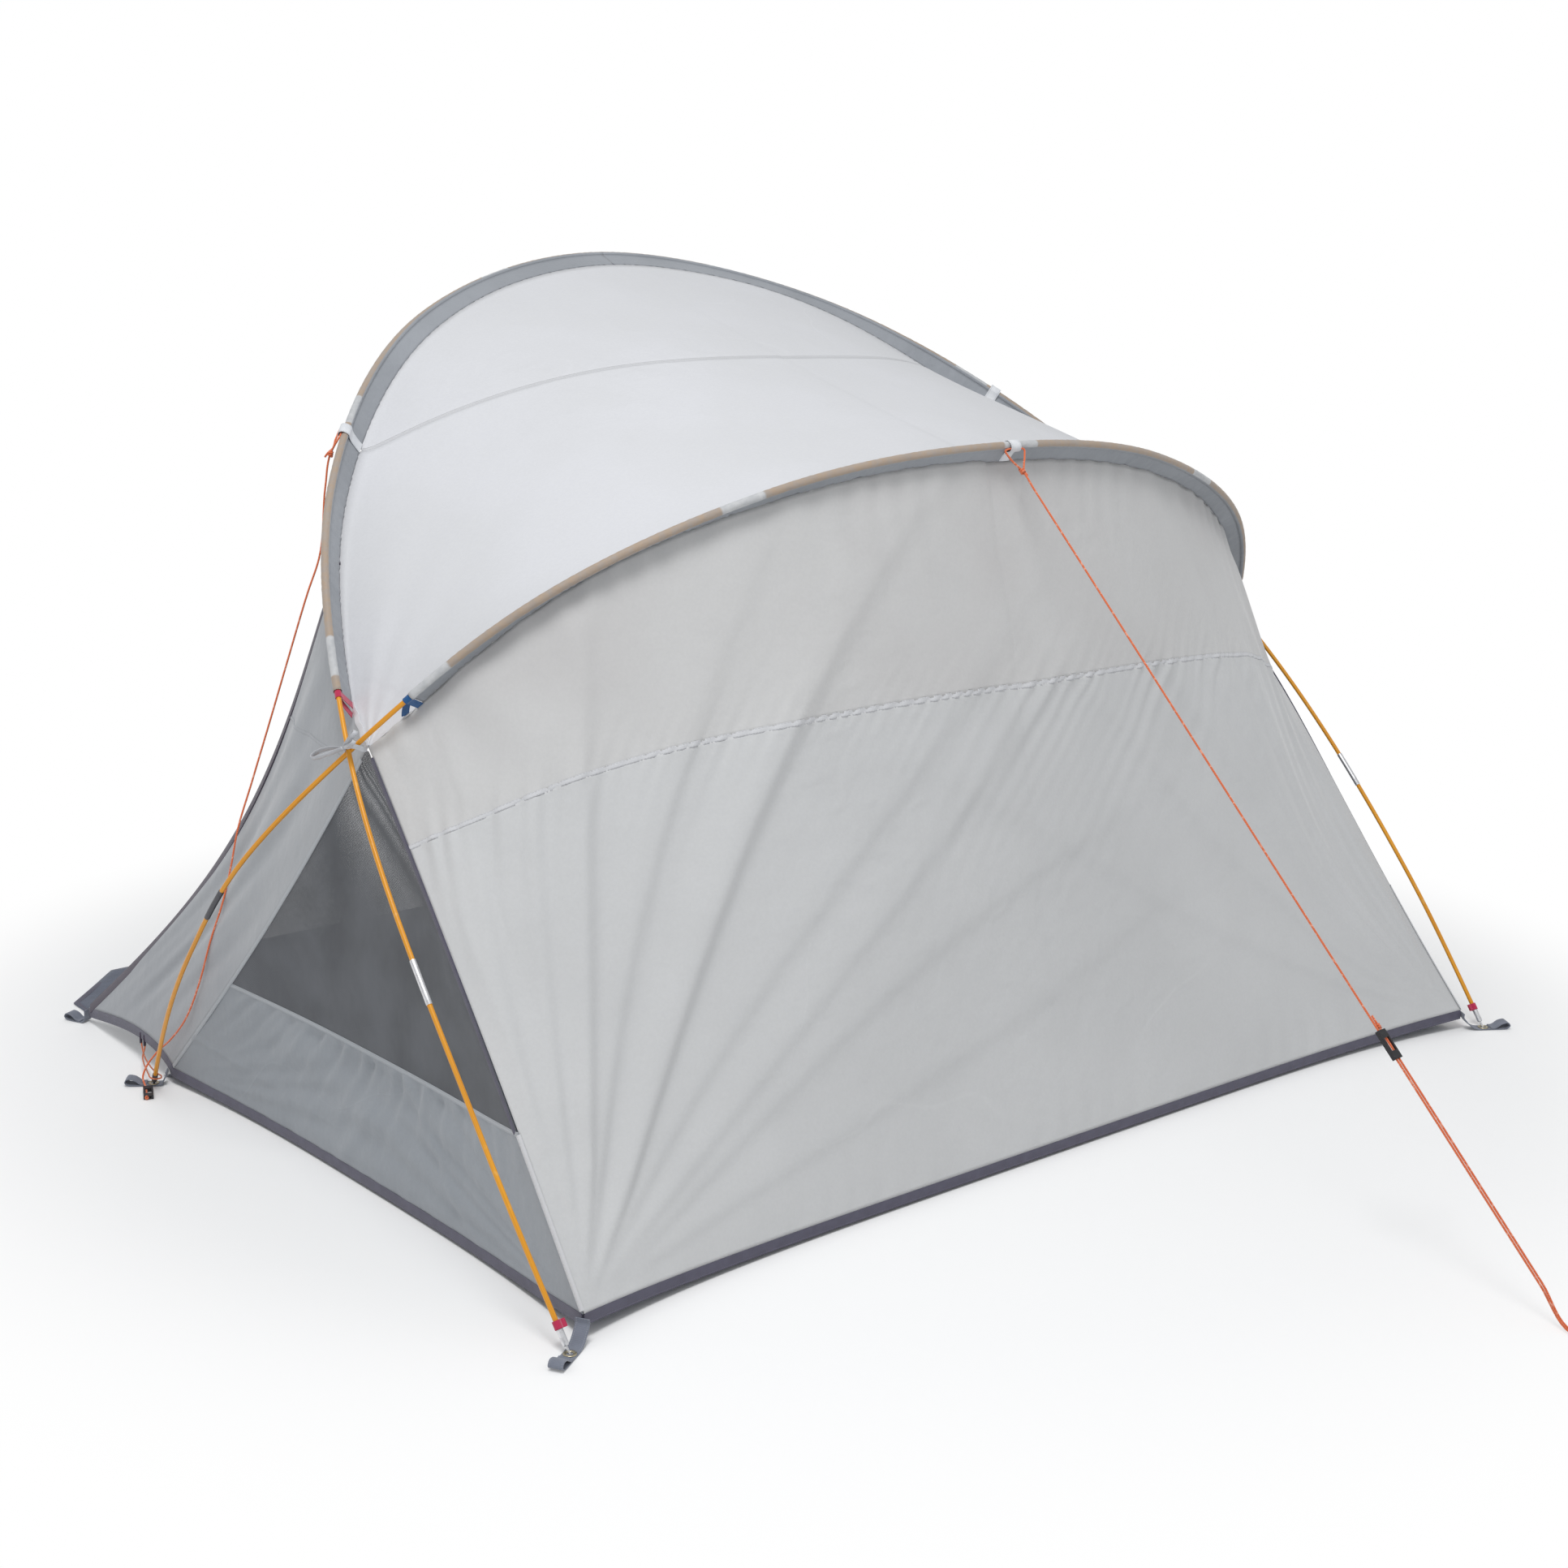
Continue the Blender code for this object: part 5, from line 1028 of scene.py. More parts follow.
def wall_height(shares, downs):
    """How far the rear wall's folds, pleats and gathers stand out."""
    up = (1 - downs) * WALL_HEIGHT
    run = shares[:, None] * WALL_WIDTH + 0 * downs
    below = (downs - wall_seam(shares)[:, None]) * WALL_HEIGHT
    fans = pleat_fan(run, up, NEAR_FOLDS) + 0.9 * pleat_fan(WALL_WIDTH - run, up, FAR_FOLDS)
    fans = fans * np.where(below < 0, 0.45 + 0.55 * np.exp(below / 0.08), 1.0)
    calm = climb(downs, 0.06) * climb(1 - downs, 0.04)
    slant = run - below * 0.45
    upper = 0.0032 * wander(slant, 47, 2.2, 7) * (0.6 + 0.4 * np.sin(slant * 9))
    upper = upper * bell(below + 0.13, 0.15) * hump(shares[:, None]) ** 0.5
    top_gather = 0.0017 * wander(run, 120, 3, 17) * fade(downs, 0.06)
    hem_gather = 0.0016 * wander(run, 96, 3, 13) * fade(1 - downs, 0.05) * climb(1 - downs, 0.02)
    drape = 0.0050 * np.sin(run * 9.0 + 2.5 * downs + 2.0 * np.sin(4 * run)) * hump(downs)
    height = FOLD_HEIGHT * fans * calm + seam_pleats(run, below) + upper + top_gather + drape + hem_gather
    return height * climb(np.minimum(run, WALL_WIDTH - run), 0.035)


def wall_grid(shares, downs):
    """Rear wall at the given shares across and places down, one row of places per share."""
    top = rear_seam(shares)[:, None]
    bottom = rear_hem(shares, BINDING_WIDTH)[:, None]
    down = downs[..., None]
    grid = top * (1 - down) + bottom * down
    across = (2 * shares - 1)[:, None]
    grid[..., 1] += REAR_SEAM_BOW * hump(downs) * np.abs(across) ** 6
    grid[..., 1] += far_bulge(downs) * np.clip(across, 0, 1) ** 7
    sway = -normals_of(grid)
    outward = np.where(sway[..., 1:2] > 0, sway, -sway)
    return grid + outward * wall_height(shares, downs)[..., None]


def between(start, end, count):
    """Places from one curve of values to another, one row each."""
    share = np.linspace(0, 1, count)[None, :]
    return start[:, None] * (1 - share) + end[:, None] * share


def build_wall():
    shares = np.linspace(0.001, 0.999, 441)
    seam = wall_seam(shares)
    upper = wall_grid(shares, between(np.zeros_like(seam), seam, 44))
    lower = wall_grid(shares, between(seam, np.ones_like(seam), 120))
    cloth_panel("rear_wall_upper_cloth", upper, WALL_UPPER, ["rear_wall_upper"], "wall_cloth")
    cloth_panel("rear_wall_lower_cloth", lower, WALL, ["rear_wall_lower"], "wall_cloth")
    shares = np.linspace(0.001, 0.999, 1201)
    seam = wall_seam(shares)
    half = 0.0042
    seam_band("rear_wall_seam", wall_grid(shares, between(seam - half, seam + half, 5)))


def seam_band(name, grid):
    """A lapped seam that stands a little proud of both panels."""
    along = lengths_along(grid[:, grid.shape[1] // 2])[:, None]
    pucker = 0.0004 + 0.00015 * wander(along, 520, 2, 61)
    crown = pucker * np.sin(np.linspace(0, np.pi, grid.shape[1]))
    outward = normals_of(grid)
    middle = outward[outward.shape[0] // 2, outward.shape[1] // 2]
    if middle[1] + middle[2] < 0:
        outward = -outward
    proud = grid + outward * (crown + 0.0002)[..., None]
    piece(name, proud.reshape(-1, 3), grid_faces(*grid.shape[:2]), SEAM, grid_spots(proud),
          slot="roof_cloth", thickness=0.0004)


def roof_grid(shares, backs):
    """Roof between the front and rear flanges, one row of places back per share across."""
    back = backs[..., None]
    grid = front_seam(shares)[:, None] * (1 - back) + rear_seam(shares)[:, None] * back
    middle = hump(shares)[:, None] * 4 * backs * (1 - backs)
    run = shares[:, None] * 2.4
    across = np.abs(2 * shares - 1)[:, None]
    soft = 0.0035 * np.sin(run * 6 + 5 * backs) * hump(backs)
    fan = 0.0030 * np.sin(backs * 26 + 3 * np.sin(run * 2)) * across ** 3 * hump(backs)
    pull = 0.0007 * wander(run, 210, 2, 19) * (fade(backs, 0.04) + fade(1 - backs, 0.05))
    grid[..., 2] += (soft + fan + pull) * middle.clip(0.0, 1.0) ** 0.3 - 0.004 * middle
    sag = np.clip(hump(np.clip(backs, 0, 1) ** 0.6), 0, 1) ** 0.6
    flank = bell(across - 0.62, 0.24) * sag
    inward = unit(np.array([0.0, 0.0, 0.45]) - grid * (1, 0, 1))
    return grid + inward * (ROOF_SAG * flank)[..., None]


def build_roof():
    lens = FRONT_STRAP_S / FRONT_REACH
    margin = 0.0005
    low = (1 - lens) / 2 + margin
    shares = np.linspace(margin, 1 - margin, 301)
    seam = np.maximum(0.0, roof_seam_line(shares, lens))
    inside = np.linspace(low, 1 - low, 221)
    seam_inside = roof_seam_line(inside, lens)
    front = roof_grid(inside, between(np.zeros_like(inside), np.maximum(seam_inside, 0.002), 30))
    rear = roof_grid(shares, between(seam, np.ones_like(seam), 48))
    cloth_panel("roof_front_cloth", front, ROOF, ["roof_front_panel"], "roof_cloth")
    cloth_panel("roof_rear_cloth", rear, ROOF, ["roof_rear_panel"], "roof_cloth")
    half = 0.0055
    seam_band("roof_seam", roof_grid(inside, between(seam_inside - half, seam_inside + half, 5)))


def roof_seam_line(shares, lens):
    """How far back the seam between the roof's two panels runs."""
    return ROOF_SEAM_REACH * (1 - (np.abs(2 * shares - 1) / lens) ** 2)


def side_point(share, down, side=1):
    """Side triangle: share along the hem and down from the tied corner."""
    here = VERTEX + (side_hem(share, BINDING_WIDTH) - VERTEX) * down[..., None]
    here[..., 1] += (SIDE_SEAM_BOW * (1 - share) + REAR_SEAM_BOW * share) * hump(down)
    if side < 0:
        here[..., 1] += far_bulge(down) * share
    return here


def side_rows(start, end, count):
    """Shares along the hem and places down from start to end, as a grid."""
    return np.meshgrid(np.linspace(0.0, 1.0, 121), np.linspace(start, end, count), indexing="ij")


def band_height(share, down):
    """Relief of a side band: rays from both corners, two creases that cross, gathers at the sill."""
    hang = (down - WINDOW_SILL) / (1 - WINDOW_SILL)
    up = (1 - down) * 0.72 + 0.004
    rays = ray_folds(up, (1 - share) * SIDE_LENGTH, 0.008) + ray_folds(up, share * SIDE_LENGTH, 0.006)
    crease = bell(share - 0.60 - 0.16 * hang, 0.012) + bell(share - 0.55 + 0.12 * hang, 0.014)
    crease += 0.8 * bell(hang - 0.62 - 0.3 * share, 0.02) * np.clip(0.75 - share, 0, 1)
    edge = climb(1 - down, 0.03) * climb(down - WINDOW_SILL, 0.03)
    slant = share * SIDE_LENGTH + 0.10 * hang
    gather = 0.0034 * (wander(slant, 92, 2.5, 11) + 0.5 * np.sin(slant * 171 + 1.0))
    gather = gather * fade(hang, 0.35) * hump(np.clip(share * 1.02, 0, 1)) ** 0.5
    return (rays + 0.0028 * crease) * edge + gather * climb(hang, 0.08)


def build_sides():
    for label, side in SIDES:
        mirror = np.array([side, 1.0, 1.0])

        def edge(share, start, end, count):
            downs = np.linspace(start, end, count)
            return side_point(np.full(count, share), downs, side) * mirror

        share, down = side_rows(0.006, WINDOW_SILL, 70)
        net = side_point(share, down, side)
        net[..., 0] -= 0.006 * hump(share) * hump(down / WINDOW_SILL)
        cloth_panel(f"window_net_{label}", net * mirror, NET, [f"mesh_window_{label}"], "window_mesh")
        share, down = side_rows(WINDOW_SILL, 1.0, 46)
        band = side_point(share, down, side)
        band[..., 0] += band_height(share, down)
        cloth_panel(f"side_band_cloth_{label}", band * mirror, SIDE, [f"side_band_{label}"], "wall_cloth")
        path = edge(0.990, 0.02, WINDOW_SILL, 60)
        inward = edge(0.5, 0.02, WINDOW_SILL, 60) - path
        strip(f"window_rear_binding_{label}", path, inward, 0.0085, 0.0012, TAPE, slot="dark_binding",
              crown=0.0005)
        shares = np.linspace(0.0, 1.0, 121)
        sill = side_point(shares, np.full_like(shares, WINDOW_SILL), side) * mirror
        rear = edge(1.0, WINDOW_SILL, 0.995, 60)
        for name, path, wide, width, finish, crown in (
                ("window_sill_seam", sill, (0, 0, 1), 0.007, SIDE_SEAM, 0.0004),
                ("rear_corner_seam", rear, (-side * 0.6, 0.8, 0.0), 0.006, SEAM, 0.0006),
                ("side_corner_seam", edge(0.0, 0.03, 0.995, 90), (0.0, 1.0, 0.3), 0.007, SIDE_SEAM, 0.0004)):
            strip(f"{name}_{label}", path, wide, width, 0.0012, finish, slot="wall_cloth", crown=crown)


def wing_edge(down):
    """The wing's free front edge, bowed by the pull of the hem."""
    top = canopy_line(FRONT, WING_TOP_S)[0]
    bow = hump(down ** 1.1)[..., None]
    straight = top + (wing_hem(1.0, BINDING_WIDTH) - top) * down[..., None]
    return straight + bow * np.array([-WING_EDGE_DRAW, WING_EDGE_BOW, 0.0])


def wing_grid(forward, down):
    """Wing between the side seam, the front arch, the front edge and the hem."""
    f, d = forward[:, None, None], down[None, :, None]
    top = canopy_line(FRONT, FRONT_REACH + (WING_TOP_S - FRONT_REACH) * forward)[:, None]
    bottom = wing_hem(forward, BINDING_WIDTH)[:, None]
    behind = side_point(np.zeros_like(down), down)[None]
    before = wing_edge(down)[None]
    corners = ((1 - f) * (1 - d) * VERTEX + f * (1 - d) * before[:, :1] + (1 - f) * d * behind[:, -1:]
               + f * d * before[:, -1:])
    return top * (1 - d) + bottom * d + behind * (1 - f) + before * f - corners


def build_wings():
    forward = np.linspace(0.0, 1.0, 61)
    down = np.linspace(0.0, 1.0, 121)
    f, d = forward[:, None], down[None, :]
    grid = wing_grid(forward, down)
    calm = hump(f) * hump(d) ** 0.7
    folds = 0.006 * np.sin(9 * f + 7 * d) + 0.004 * np.sin(21 * f - 9 * d + 1.0)
    tense = 0.0035 * np.sin(38 * f + 4 * np.sin(5 * d)) * d ** 2
    grid[..., 0] += (folds + tense) * calm
    edge = wing_edge(down)
    inner = wing_grid(np.array([0.93]), down)[0]
    tape = edge + unit(inner - edge) * BINDING_WIDTH / 2
    level = VERTEX[2] - 0.030
    seam = np.array([[np.interp(-level, -row[:, 2], row[:, axis]) for axis in range(3)]
                     for row in grid[4:-2]])
    for label, side in SIDES:
        mirror = np.array([side, 1.0, 1.0])
        cloth_panel(f"wing_cloth_{label}", grid * mirror, WING, [f"wing_{label}"], "wall_cloth")
        strip(f"wing_front_tape_{label}", tape * mirror, (inner - edge) * mirror, BINDING_WIDTH, TAPE_THICK,
              DARK_TAPE, [f"wing_front_binding_{label}"], "dark_binding", crown=0.0005)
        strip(f"wing_middle_seam_{label}", seam * mirror, UPRIGHT, 0.006, 0.0010, WING, slot="wall_cloth",
              crown=0.0004)


def build_hems():
    half = BINDING_WIDTH / 2
    path = rear_hem(np.linspace(0.001, 0.999, 240), half)
    strip("rear_hem_tape", path, UPRIGHT, BINDING_WIDTH, TAPE_THICK, TAPE, ["rear_hem_binding"],
          "binding_tape", crown=0.0005)
    under_side = side_hem(np.linspace(0.998, 0.0, 120), half)
    under_wing = wing_hem(np.linspace(0.0, 0.999, 60), half)
    path = np.vstack([under_side, under_wing[1:]])
    for label, side in SIDES:
        strip(f"side_hem_tape_{label}", path * (side, 1, 1), UPRIGHT, BINDING_WIDTH, TAPE_THICK, TAPE,
              [f"side_hem_binding_{label}"], "binding_tape", crown=0.0005)


# Floor and flap
def build_floor():
    """The groundsheet, whose rim rises to the hems at its sides and back."""
    inset = 0.0016
    rim_width = 0.040
    forward = np.linspace(0.0, 1.0, 90)
    rim = side_hem(1 - forward, 0.002)
    across = np.linspace(-1, 1, 121)
    bend = np.abs(across) ** HEM_FLATNESS
    back = REAR_HEM_MIDDLE_Y + (REAR_CORNER[1] - REAR_HEM_MIDDLE_Y) * bend - inset
    x = (rim[:, 0] - inset)[:, None] * across
    y = FLAP_SEAM_Y + (back - FLAP_SEAM_Y) * (1 - forward)[:, None]
    side_rise = bell((1 - np.abs(across)) * 0.93, rim_width) * (rim[:, 2:] + 0.003)
    back_lift = HEM_LIFT + 0.005 + (REAR_CORNER[2] - HEM_LIFT) * bend
    back_rise = bell(forward[:, None] * 1.1, rim_width) * back_lift
    waves = 0.0006 * (1 + np.sin(x * 31 + 3 * np.sin(y * 7)) * np.sin(y * 23))
    front = climb(np.arange(90)[::-1, None], 4)
    z = 0.0010 + (np.maximum(side_rise, back_rise) + waves) * front
    cloth_panel("groundsheet_cloth", np.stack([x, y, z], axis=-1), FLOOR, ["groundsheet"], "floor_cloth")


def build_flap():
    ear = FLAP_EAR_HALF_WIDTH
    waist = FLAP_WAIST_HALF_WIDTH
    side = [(FLAP_SEAM_HALF_WIDTH, 0.0), (waist + 0.015, 0.12), (waist, 0.27), (waist + 0.025, 0.31),
            (ear, 0.36), (ear, FLAP_DEPTH - FLAP_CHAMFER), (ear - FLAP_CHAMFER, FLAP_DEPTH)]
    outs = np.linspace(0.0003, FLAP_DEPTH, 70)
    widths = np.interp(outs, [out for _, out in side], [x for x, _ in side])
    x = widths[:, None] * np.linspace(-1, 1, 121)
    y = FLAP_SEAM_Y - outs[:, None] + 0 * x
    ripple = 0.0008 * (1 + np.sin(x * 17 + 4 * np.sin(y * 9)) * np.sin(y * 29 + 1))
    z = 0.0008 + ripple * climb(outs, 0.03)[:, None]
    cloth_panel("front_flap_cloth", np.stack([x, y, z], axis=-1), FLOOR, ["front_flap"], "floor_cloth",
                body="flap")
    level = 0.0013
    edge = [(x, FLAP_SEAM_Y - out, level) for x, out in side]
    outline = np.array(edge + [(-x, y, z) for x, y, z in edge[::-1]])
    path = []
    for start, end in zip(outline, outline[1:]):
        path += [start + (end - start) * share for share in np.linspace(0, 1, 8)[:-1]]
    path = np.array([*path, outline[-1]])
    aim = np.array([0.0, FLAP_SEAM_Y - FLAP_DEPTH / 2, level]) - path
    strip("front_flap_tape", path + unit(aim) * 0.006, aim, 0.010, 0.0008, TAPE, slot="binding_tape",
          body="flap", crown=0.0003)


# Webbing and eyelets
def eyelet_centre(arch, side):
    foot = arch.point(side * arch.half_length)
    up = unit(arch.point(side * (arch.half_length - PIN_LENGTH)) - foot)
    return foot + up * (STRAP_LEVEL / up[2])


def peg_loop(start):
    """Places and heights of a webbing loop for a ground peg, out along the strap and back over itself."""
    sewn = STRAP_LEVEL + WEBBING_THICK + GAP
    shape = ((0.0, STRAP_LEVEL), (0.6, STRAP_LEVEL), (0.9, STRAP_LEVEL + 0.0014),
             (1.0, STRAP_LEVEL + PEG_LOOP_RISE / 2), (0.92, STRAP_LEVEL + PEG_LOOP_RISE),
             (0.6, STRAP_LEVEL + PEG_LOOP_RISE * 0.95), (0.22, sewn), (0.03, sewn))
    return [(start + PEG_LOOP_LENGTH * share, height) for share, height in shape]


def eyelet_parts(centre):
    """A pressed ring: rolled flange above and below the webbing, with a collar between."""
    edge = EYELET_FLANGE
    profile = [(EYELET_BORE, 0.0001), (edge * 0.8, 0.0001), (edge, 0.0004), (edge * 0.97, 0.0010),
               (edge * 0.97, 0.0020), (edge, 0.0026), (edge * 0.86, 0.0034), (EYELET_BORE * 1.25, 0.0033),
               (EYELET_BORE, 0.0026)]
    sides = 28
    count = len(profile)
    points, spots, faces = [], [], []
    for k in range(sides):
        angle = 2 * math.pi * k / sides
        n = (k + 1) % sides
        for j, (radius, z) in enumerate(profile):
            m = (j + 1) % count
            points.append((centre[0] + radius * math.cos(angle), centre[1] + radius * math.sin(angle), z))
            spots.append((angle * EYELET_FLANGE, radius))
            faces.append((k * count + j, n * count + j, n * count + m, k * count + m))
    return points, faces, spots


def ground_strap(name, start, out, profile, replaced):
    """Webbing on the ground from a corner of the hem: profile gives places along out and heights."""
    controls = [np.array([start[0], start[1], 0.0]) + out * a + np.array([0.0, 0.0, b]) for a, b in profile]
    strip(name, smooth_line(controls, 5), np.cross(UPRIGHT, out), WEBBING_WIDTH, WEBBING_THICK, WEBBING,
          [replaced], "grey_webbing")


def corner_strap(name, arch, corner, skew, label, side):
    """From a corner of the hem, through under the pole's pin and its eyelet, to a peg loop."""
    corner = np.array(corner) * (side, 1, 1)
    centre = eyelet_centre(arch, side)
    flat = np.array([centre[0] - corner[0], centre[1] - corner[1], 0.0])
    reach = float(np.linalg.norm(flat))
    near = (BINDING_THICK + WEBBING_THICK + skew * WEBBING_WIDTH) / 2 - reach
    profile = [(near, corner[2] + BINDING_WIDTH * 0.7), (near, corner[2] + 0.004), (near + 0.003, corner[2]),
               (-EYELET_FLANGE - 0.004, STRAP_LEVEL + 0.0004), (-EYELET_FLANGE, STRAP_LEVEL),
               *peg_loop(EYELET_FLANGE + 0.001)]
    ground_strap(f"{name}_strap_{label}", centre, flat / reach, profile, f"{name}_webbing_{label}")
    joined(f"{name}_eyelet_{label}", [eyelet_parts(centre)], BRASS)


def foot_marker(label, side):
    """A crimson ribbon folded round the front arch's foot."""
    s = side * (FRONT.half_length - 0.040)
    foot = FRONT.point(s)
    along, inward, aside = FRONT.frame(s)
    ends = [foot + inward * out + aside * off for out, off in ((0.012, 0.0012), (0.0085, 0.0014))]
    back = [foot + inward * out - aside * off for out, off in ((0.0085, 0.0014), (0.012, 0.0012))]
    turns = [math.radians(t) for t in range(20, 341, 20)]
    round_pole = [foot + 0.0052 * (math.cos(t) * inward + math.sin(t) * aside) for t in turns]
    path = smooth_line([*ends, *round_pole, *back], 3)
    strip(f"foot_marker_{label}", path, along, RIBBON_WIDTH, RIBBON_THICK, CRIMSON, slot="crimson_ribbon")


def build_webbing():
    for label, side in SIDES:
        corner_strap("rear_corner", FRONT, REAR_CORNER, 0.0, label, side)
        corner_strap("side_corner", REAR, SIDE_CORNER, 0.75, label, side)
        near = BINDING_THICK / 2 + 0.0006 + WEBBING_THICK / 2
        low = WING_CORNER[2] + 0.004
        profile = [(near, low + BINDING_WIDTH * 0.6), (near, low), (near + 0.006, STRAP_LEVEL + 0.0004),
                   *peg_loop(near + 0.010)]
        ground_strap(f"wing_peg_strap_{label}", (side * WING_CORNER[0], WING_CORNER[1]),
                     unit(np.array([side * 0.45, -0.89, 0.0])), profile, f"wing_peg_loop_{label}")
        foot_marker(label, side)


# Straps and ribbons on the poles
def beside_sleeve(arch, s):
    """Places in a section of a sleeve: out along its flange, aside and along the pole."""
    depth, drift = flange(arch, s)
    along, inward, across = arch.frame(s)
    tail = inward * depth + across * drift
    reach = float(np.linalg.norm(tail))
    tail = unit(tail)
    side = unit(np.cross(along, tail))
    centre = arch.point(s)
    root = SLEEVE_RADIUS * math.cos(SLEEVE_ROOT)

    def place(a, b, shift=0.0):
        return centre + tail * a + side * b + along * shift

    def face(a):
        share = max(0.0, (a - root) / (reach - root))
        cloth = SLEEVE_RADIUS * math.sin(SLEEVE_ROOT) * (1 - share) + CLOTH * share
        return cloth + RIBBON_THICK / 2 + 0.0009

    return place, face, reach, along


def wrap(place, radius_at, step=15):
    """Round the pole, from the one face of the flange to the other."""
    turns = [math.radians(t) for t in range(55, 306, step)]
    return [place(radius_at(t) * math.cos(t), radius_at(t) * math.sin(t)) for t in turns]


def build_guy_strap(name, arch, s, cord_angle, replaced):
    """White webbing round a sleeve, standing off where the guy cord passes under it."""
    place, face, depth, along = beside_sleeve(arch, s)
    snug = SLEEVE_RADIUS + 0.0016

    def radius_at(angle):
        return snug + 2.3 * GUY_RADIUS * max(0.0, math.cos(angle - math.radians(cord_angle))) ** 2

    bend = 1.5 * snug
    end = depth - 0.001
    stops = [(end, face(end)), (depth / 2, face(depth / 2)), (bend, face(bend) * 1.2)]
    path = [place(out, off) for out, off in stops] + wrap(place, radius_at)
    path += [place(out, -off) for out, off in stops[::-1]]
    strip(name, smooth_line(path, 4), along, WEBBING_WIDTH, RIBBON_THICK, WHITE_TAPE, [replaced],
          "white_strap")


def build_pole_loop(name, arch, side, fall, finish, slot, replaced):
    """The ribbon at a sleeve's end, round the bare pole; its far end falls along the pole."""
    place, face, depth, along = beside_sleeve(arch, side * (sleeve_end(arch) + RIBBON_WIDTH / 2 + GAP))
    radius = POLE_RADIUS + 0.0009
    tip, middle = depth * 0.97, depth * 0.5
    stops = [(tip, face(tip), 1.0), (middle, face(middle), 0.5), (radius * 1.7, face(radius * 1.6), 0.1)]
    path = [place(out, off) for out, off, _ in stops]
    path += wrap(place, lambda angle: radius, 20)
    path += [place(out, -off, side * fall * share) for out, off, share in stops[::-1]]
    strip(name, smooth_line(path, 4), along, RIBBON_WIDTH, RIBBON_THICK, finish, [replaced], slot)


def build_straps():
    for label, side in SIDES:
        build_guy_strap(f"front_strap_{label}", FRONT, side * FRONT_STRAP_S, 208, f"front_guy_strap_{label}")
    build_guy_strap("rear_strap", REAR, REAR_STRAP_S, 90, "rear_guy_strap")
    for name, arch, fall, finish, slot in (("front", FRONT, 0.014, CRIMSON, "crimson_ribbon"),
                                           ("rear", REAR, 0.026, BLUE, "blue_ribbon")):
        for label, side in SIDES:
            build_pole_loop(f"{name}_loop_ribbon_{label}", arch, side, fall, finish, slot,
                            f"{name}_pole_loop_{label}")


def bow_parts(knot, away, over, length, width, gape):
    """A flat ribbon loop that leaves the knot and comes back to it; over is the ribbon's width."""
    away = unit(away)
    over = unit(over)
    beside = unit(np.cross(away, over))
    path = []
    for turn in range(-168, 169, 12):
        angle = math.radians(turn)
        reach = length * (1 + math.cos(angle)) / 2
        path.append(knot + away * reach + beside * gape * math.sin(angle) * (reach / length) ** 0.7
                    - np.array([0, 0, 0.12 * reach * reach / length]))
    path = np.array(path)
    forward = unit(np.gradient(path, axis=0))
    flat = unit(over - np.sum(over * forward, axis=1, keepdims=True) * forward)
    thin = np.cross(forward, flat)
    outline = [(-1, -1), (0, -1), (1, -1), (1, 1), (0, 1), (-1, 1)]
    points = [c + f * width / 2 * a + t * RIBBON_THICK / 2 * b
              for c, f, t in zip(path, flat, thin) for a, b in outline]
    spots = [(s, width / 2 * (1 + a)) for s in lengths_along(path) for a, _ in outline]
    return points, tube_faces(len(path), len(outline)), spots


def build_ties():
    """Ribbons that tie the canopy's corners to the crossed poles, with a bow outside."""
    loops = {
        "left": (((0.40, -0.88, -0.20), (0.58, 0.16, 0.76), 0.056, 0.0070, 0.0095),
                 ((0.06, 0.80, 0.76), (0.70, -0.45, 0.50), 0.054, 0.0066, 0.0075),
                 ((0.14, 0.90, 0.52), (0.70, -0.35, 0.60), 0.046, 0.0060, 0.0060)),
        "right": (((-0.40, -0.88, -0.20), (-0.58, 0.16, 0.76), 0.056, 0.0070, 0.0095),
                  ((-0.30, -0.60, -0.74), (-0.6, 0.7, -0.3), 0.030, 0.0060, 0.0045))}
    for label, side in SIDES:
        centre = CROSS * (side, 1, 1)
        out = np.array([side, 0.0, 0.0])
        band = []
        for t in np.radians(np.arange(0, 361, 15)):
            band.append(centre - out * 0.0060 + out * 0.0160 * math.cos(t)
                        + np.array([0, 0.0120 * math.sin(t), 0.004 * math.sin(2 * t)]))
        strip(f"tie_band_{label}", band, UPRIGHT, RIBBON_WIDTH * 0.6, RIBBON_THICK, SILVER,
              slot="silver_ribbon")
        knot = centre + out * 0.0125
        parts = [bow_parts(knot, *loop) for loop in loops[label]]
        parts.append(knot_parts(knot, (0.0, 0.3, 1.0), 1.3, 0.0022, 0.0019))
        joined(f"tie_bow_{label}", parts, SILVER, replaces=[f"crossing_tie_{label}"], slot="silver_ribbon")
        steps = np.arange(60)
        path = canopy_line(FRONT, np.linspace(FRONT_SLEEVE_END, FRONT_REACH - 0.002, 60)) * (side, 1, 1)
        uneven = 0.0005 * np.stack([np.sin(steps * 0.31), np.cos(steps * 0.37), 0.0 * steps], axis=1)
        strip(f"corner_gather_{label}", path + uneven, (0.0, 1.0, 0.15), 0.010, 0.0014, ROOF,
              slot="roof_cloth", crown=0.0008)


def build_runners():
    """The runners keep the part's own shape, with a moulded finish."""
    for name in ("rear_guy_runner", "front_guy_runner"):
        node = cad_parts[name]
        node.data.materials.clear()
        node.data.materials.append(BLACK)
        edge = node.modifiers.new("edges", "BEVEL")
        edge.width = 0.0008
        edge.segments = 3


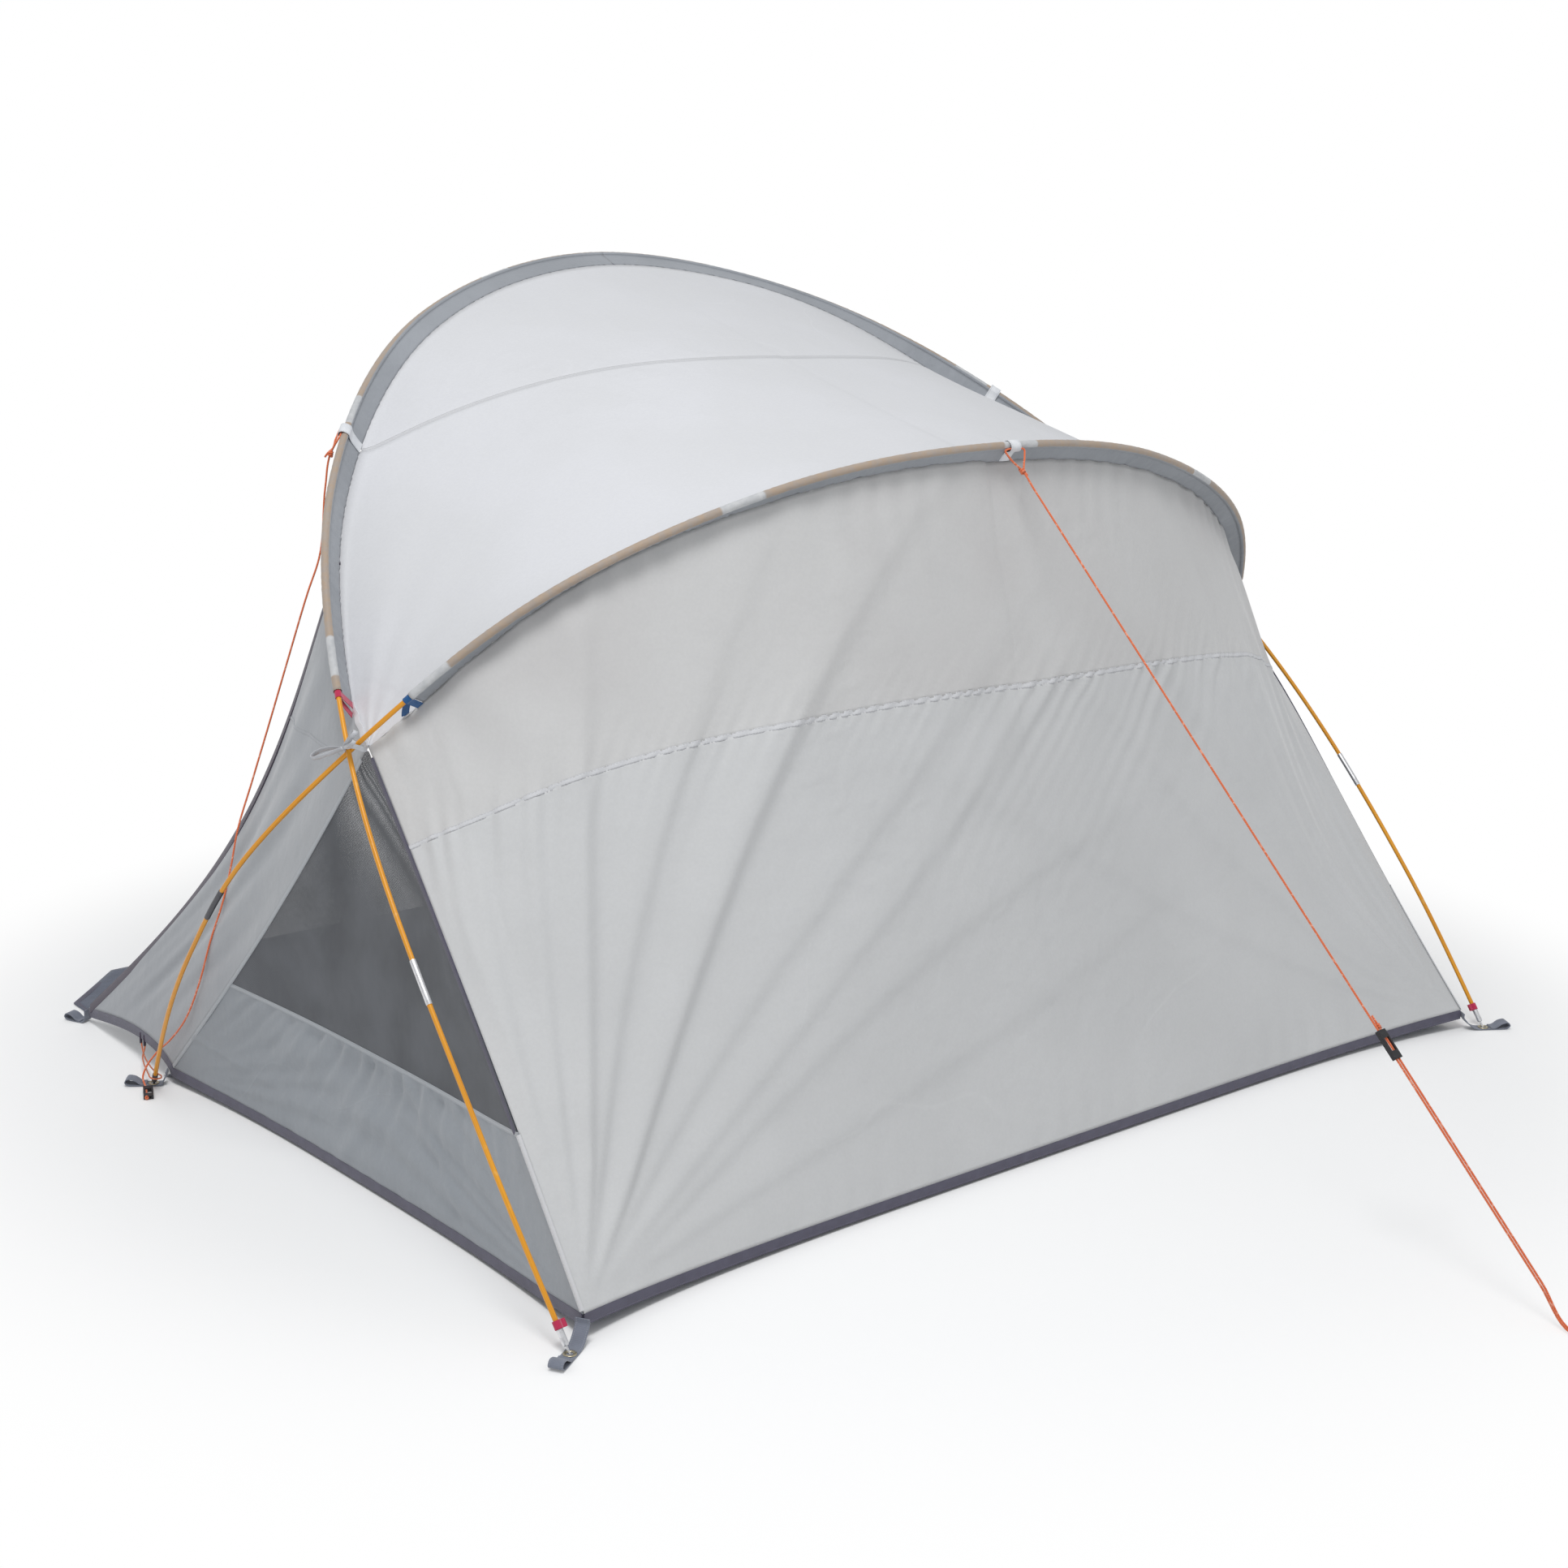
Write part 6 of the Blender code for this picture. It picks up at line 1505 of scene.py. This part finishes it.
# Stage
def build_stage():
    """The floor: pale near the object, and plain white for the camera further out."""
    size = 60.0
    mesh = bpy.data.meshes.new("floor")
    corners = [(-size, -size, 0), (size, -size, 0), (size, size, 0), (-size, size, 0)]
    mesh.from_pydata(corners, [], [(0, 1, 2, 3)])
    floor = bpy.data.objects.new("floor", mesh)
    bpy.context.scene.collection.objects.link(floor)
    floor.location.z = -0.0005
    made = Finish("floor", 0.9, specular=0.1)
    made.shader.inputs["Base Color"].default_value = (0.95, 0.95, 0.95, 1.0)
    split = made.node("SeparateXYZ", Vector=made.place())
    level = made.node("CombineXYZ", X=split.outputs[0], Y=split.outputs[1])
    distance = made.node("VectorMath", {"operation": "LENGTH"}, i0=level.outputs[0]).outputs["Value"]
    away = made.ramp(distance, 1.1, 1.7)
    ray = made.node("LightPath")
    mirrored = made.maths("MAXIMUM", ray.outputs["Is Glossy Ray"], ray.outputs["Is Transmission Ray"])
    seen = made.maths("MAXIMUM", ray.outputs["Is Camera Ray"], mirrored)
    glow = made.node("Emission", None, Color=(1, 1, 1, 1), Strength=1.0)
    blend = made.node("MixShader", None, i0=made.times(away, seen), i1=made.shader.outputs[0],
                      i2=glow.outputs[0])
    made.tree.links.new(blend.outputs[0], made.tree.nodes["Material Output"].inputs["Surface"])
    mesh.materials.append(made.material)


def build_world(strength):
    """Even light on the object, and plain white for the camera and through clear parts."""
    world = bpy.data.worlds.new("world")
    bpy.context.scene.world = world
    world.use_nodes = True
    tree = world.node_tree
    tree.nodes.clear()
    kinds = ("LightPath", "Math", "Background", "Background", "MixShader", "OutputWorld")
    ray, seen, light, white, mix, out = (tree.nodes.new("ShaderNode" + kind) for kind in kinds)
    seen.operation = "MAXIMUM"
    light.inputs["Color"].default_value = (0.97, 0.985, 1.0, 1.0)
    light.inputs["Strength"].default_value = strength
    white.inputs["Color"].default_value = (1.0, 1.0, 1.0, 1.0)
    for source, socket in ((ray.outputs["Is Camera Ray"], seen.inputs[0]),
                           (ray.outputs["Is Transmission Ray"], seen.inputs[1]),
                           (seen.outputs[0], mix.inputs[0]), (light.outputs[0], mix.inputs[1]),
                           (white.outputs[0], mix.inputs[2]), (mix.outputs[0], out.inputs["Surface"])):
        tree.links.new(source, socket)


def lamp(name, place, aim, size, watts):
    data = bpy.data.lights.new(name, "AREA")
    data.shape = "SQUARE"
    data.size = size
    data.energy = watts
    made = bpy.data.objects.new(name, data)
    bpy.context.scene.collection.objects.link(made)
    back = unit(np.array(place) - aim)
    right = unit(np.cross(UPRIGHT, back))
    up = np.cross(back, right)
    made.matrix_world = Matrix([[right[k], up[k], back[k], place[k]] for k in range(3)] + [[0, 0, 0, 1]])


def build_light():
    middle = np.array([0.0, 0.1, 0.5])
    build_world(0.60)
    lamp("key", (1.75, 1.55, 4.6), middle, 1.6, 108.0)


def main():
    set_camera()
    build_cords()
    build_poles()
    build_sleeves()
    build_crown_joint()
    build_wall()
    build_roof()
    build_sides()
    build_wings()
    build_hems()
    build_floor()
    build_flap()
    build_webbing()
    build_straps()
    build_ties()
    build_runners()
    build_stage()
    build_light()
    bpy.context.scene.view_settings.view_transform = "Standard"


main()
bpy.context.view_layer.update()
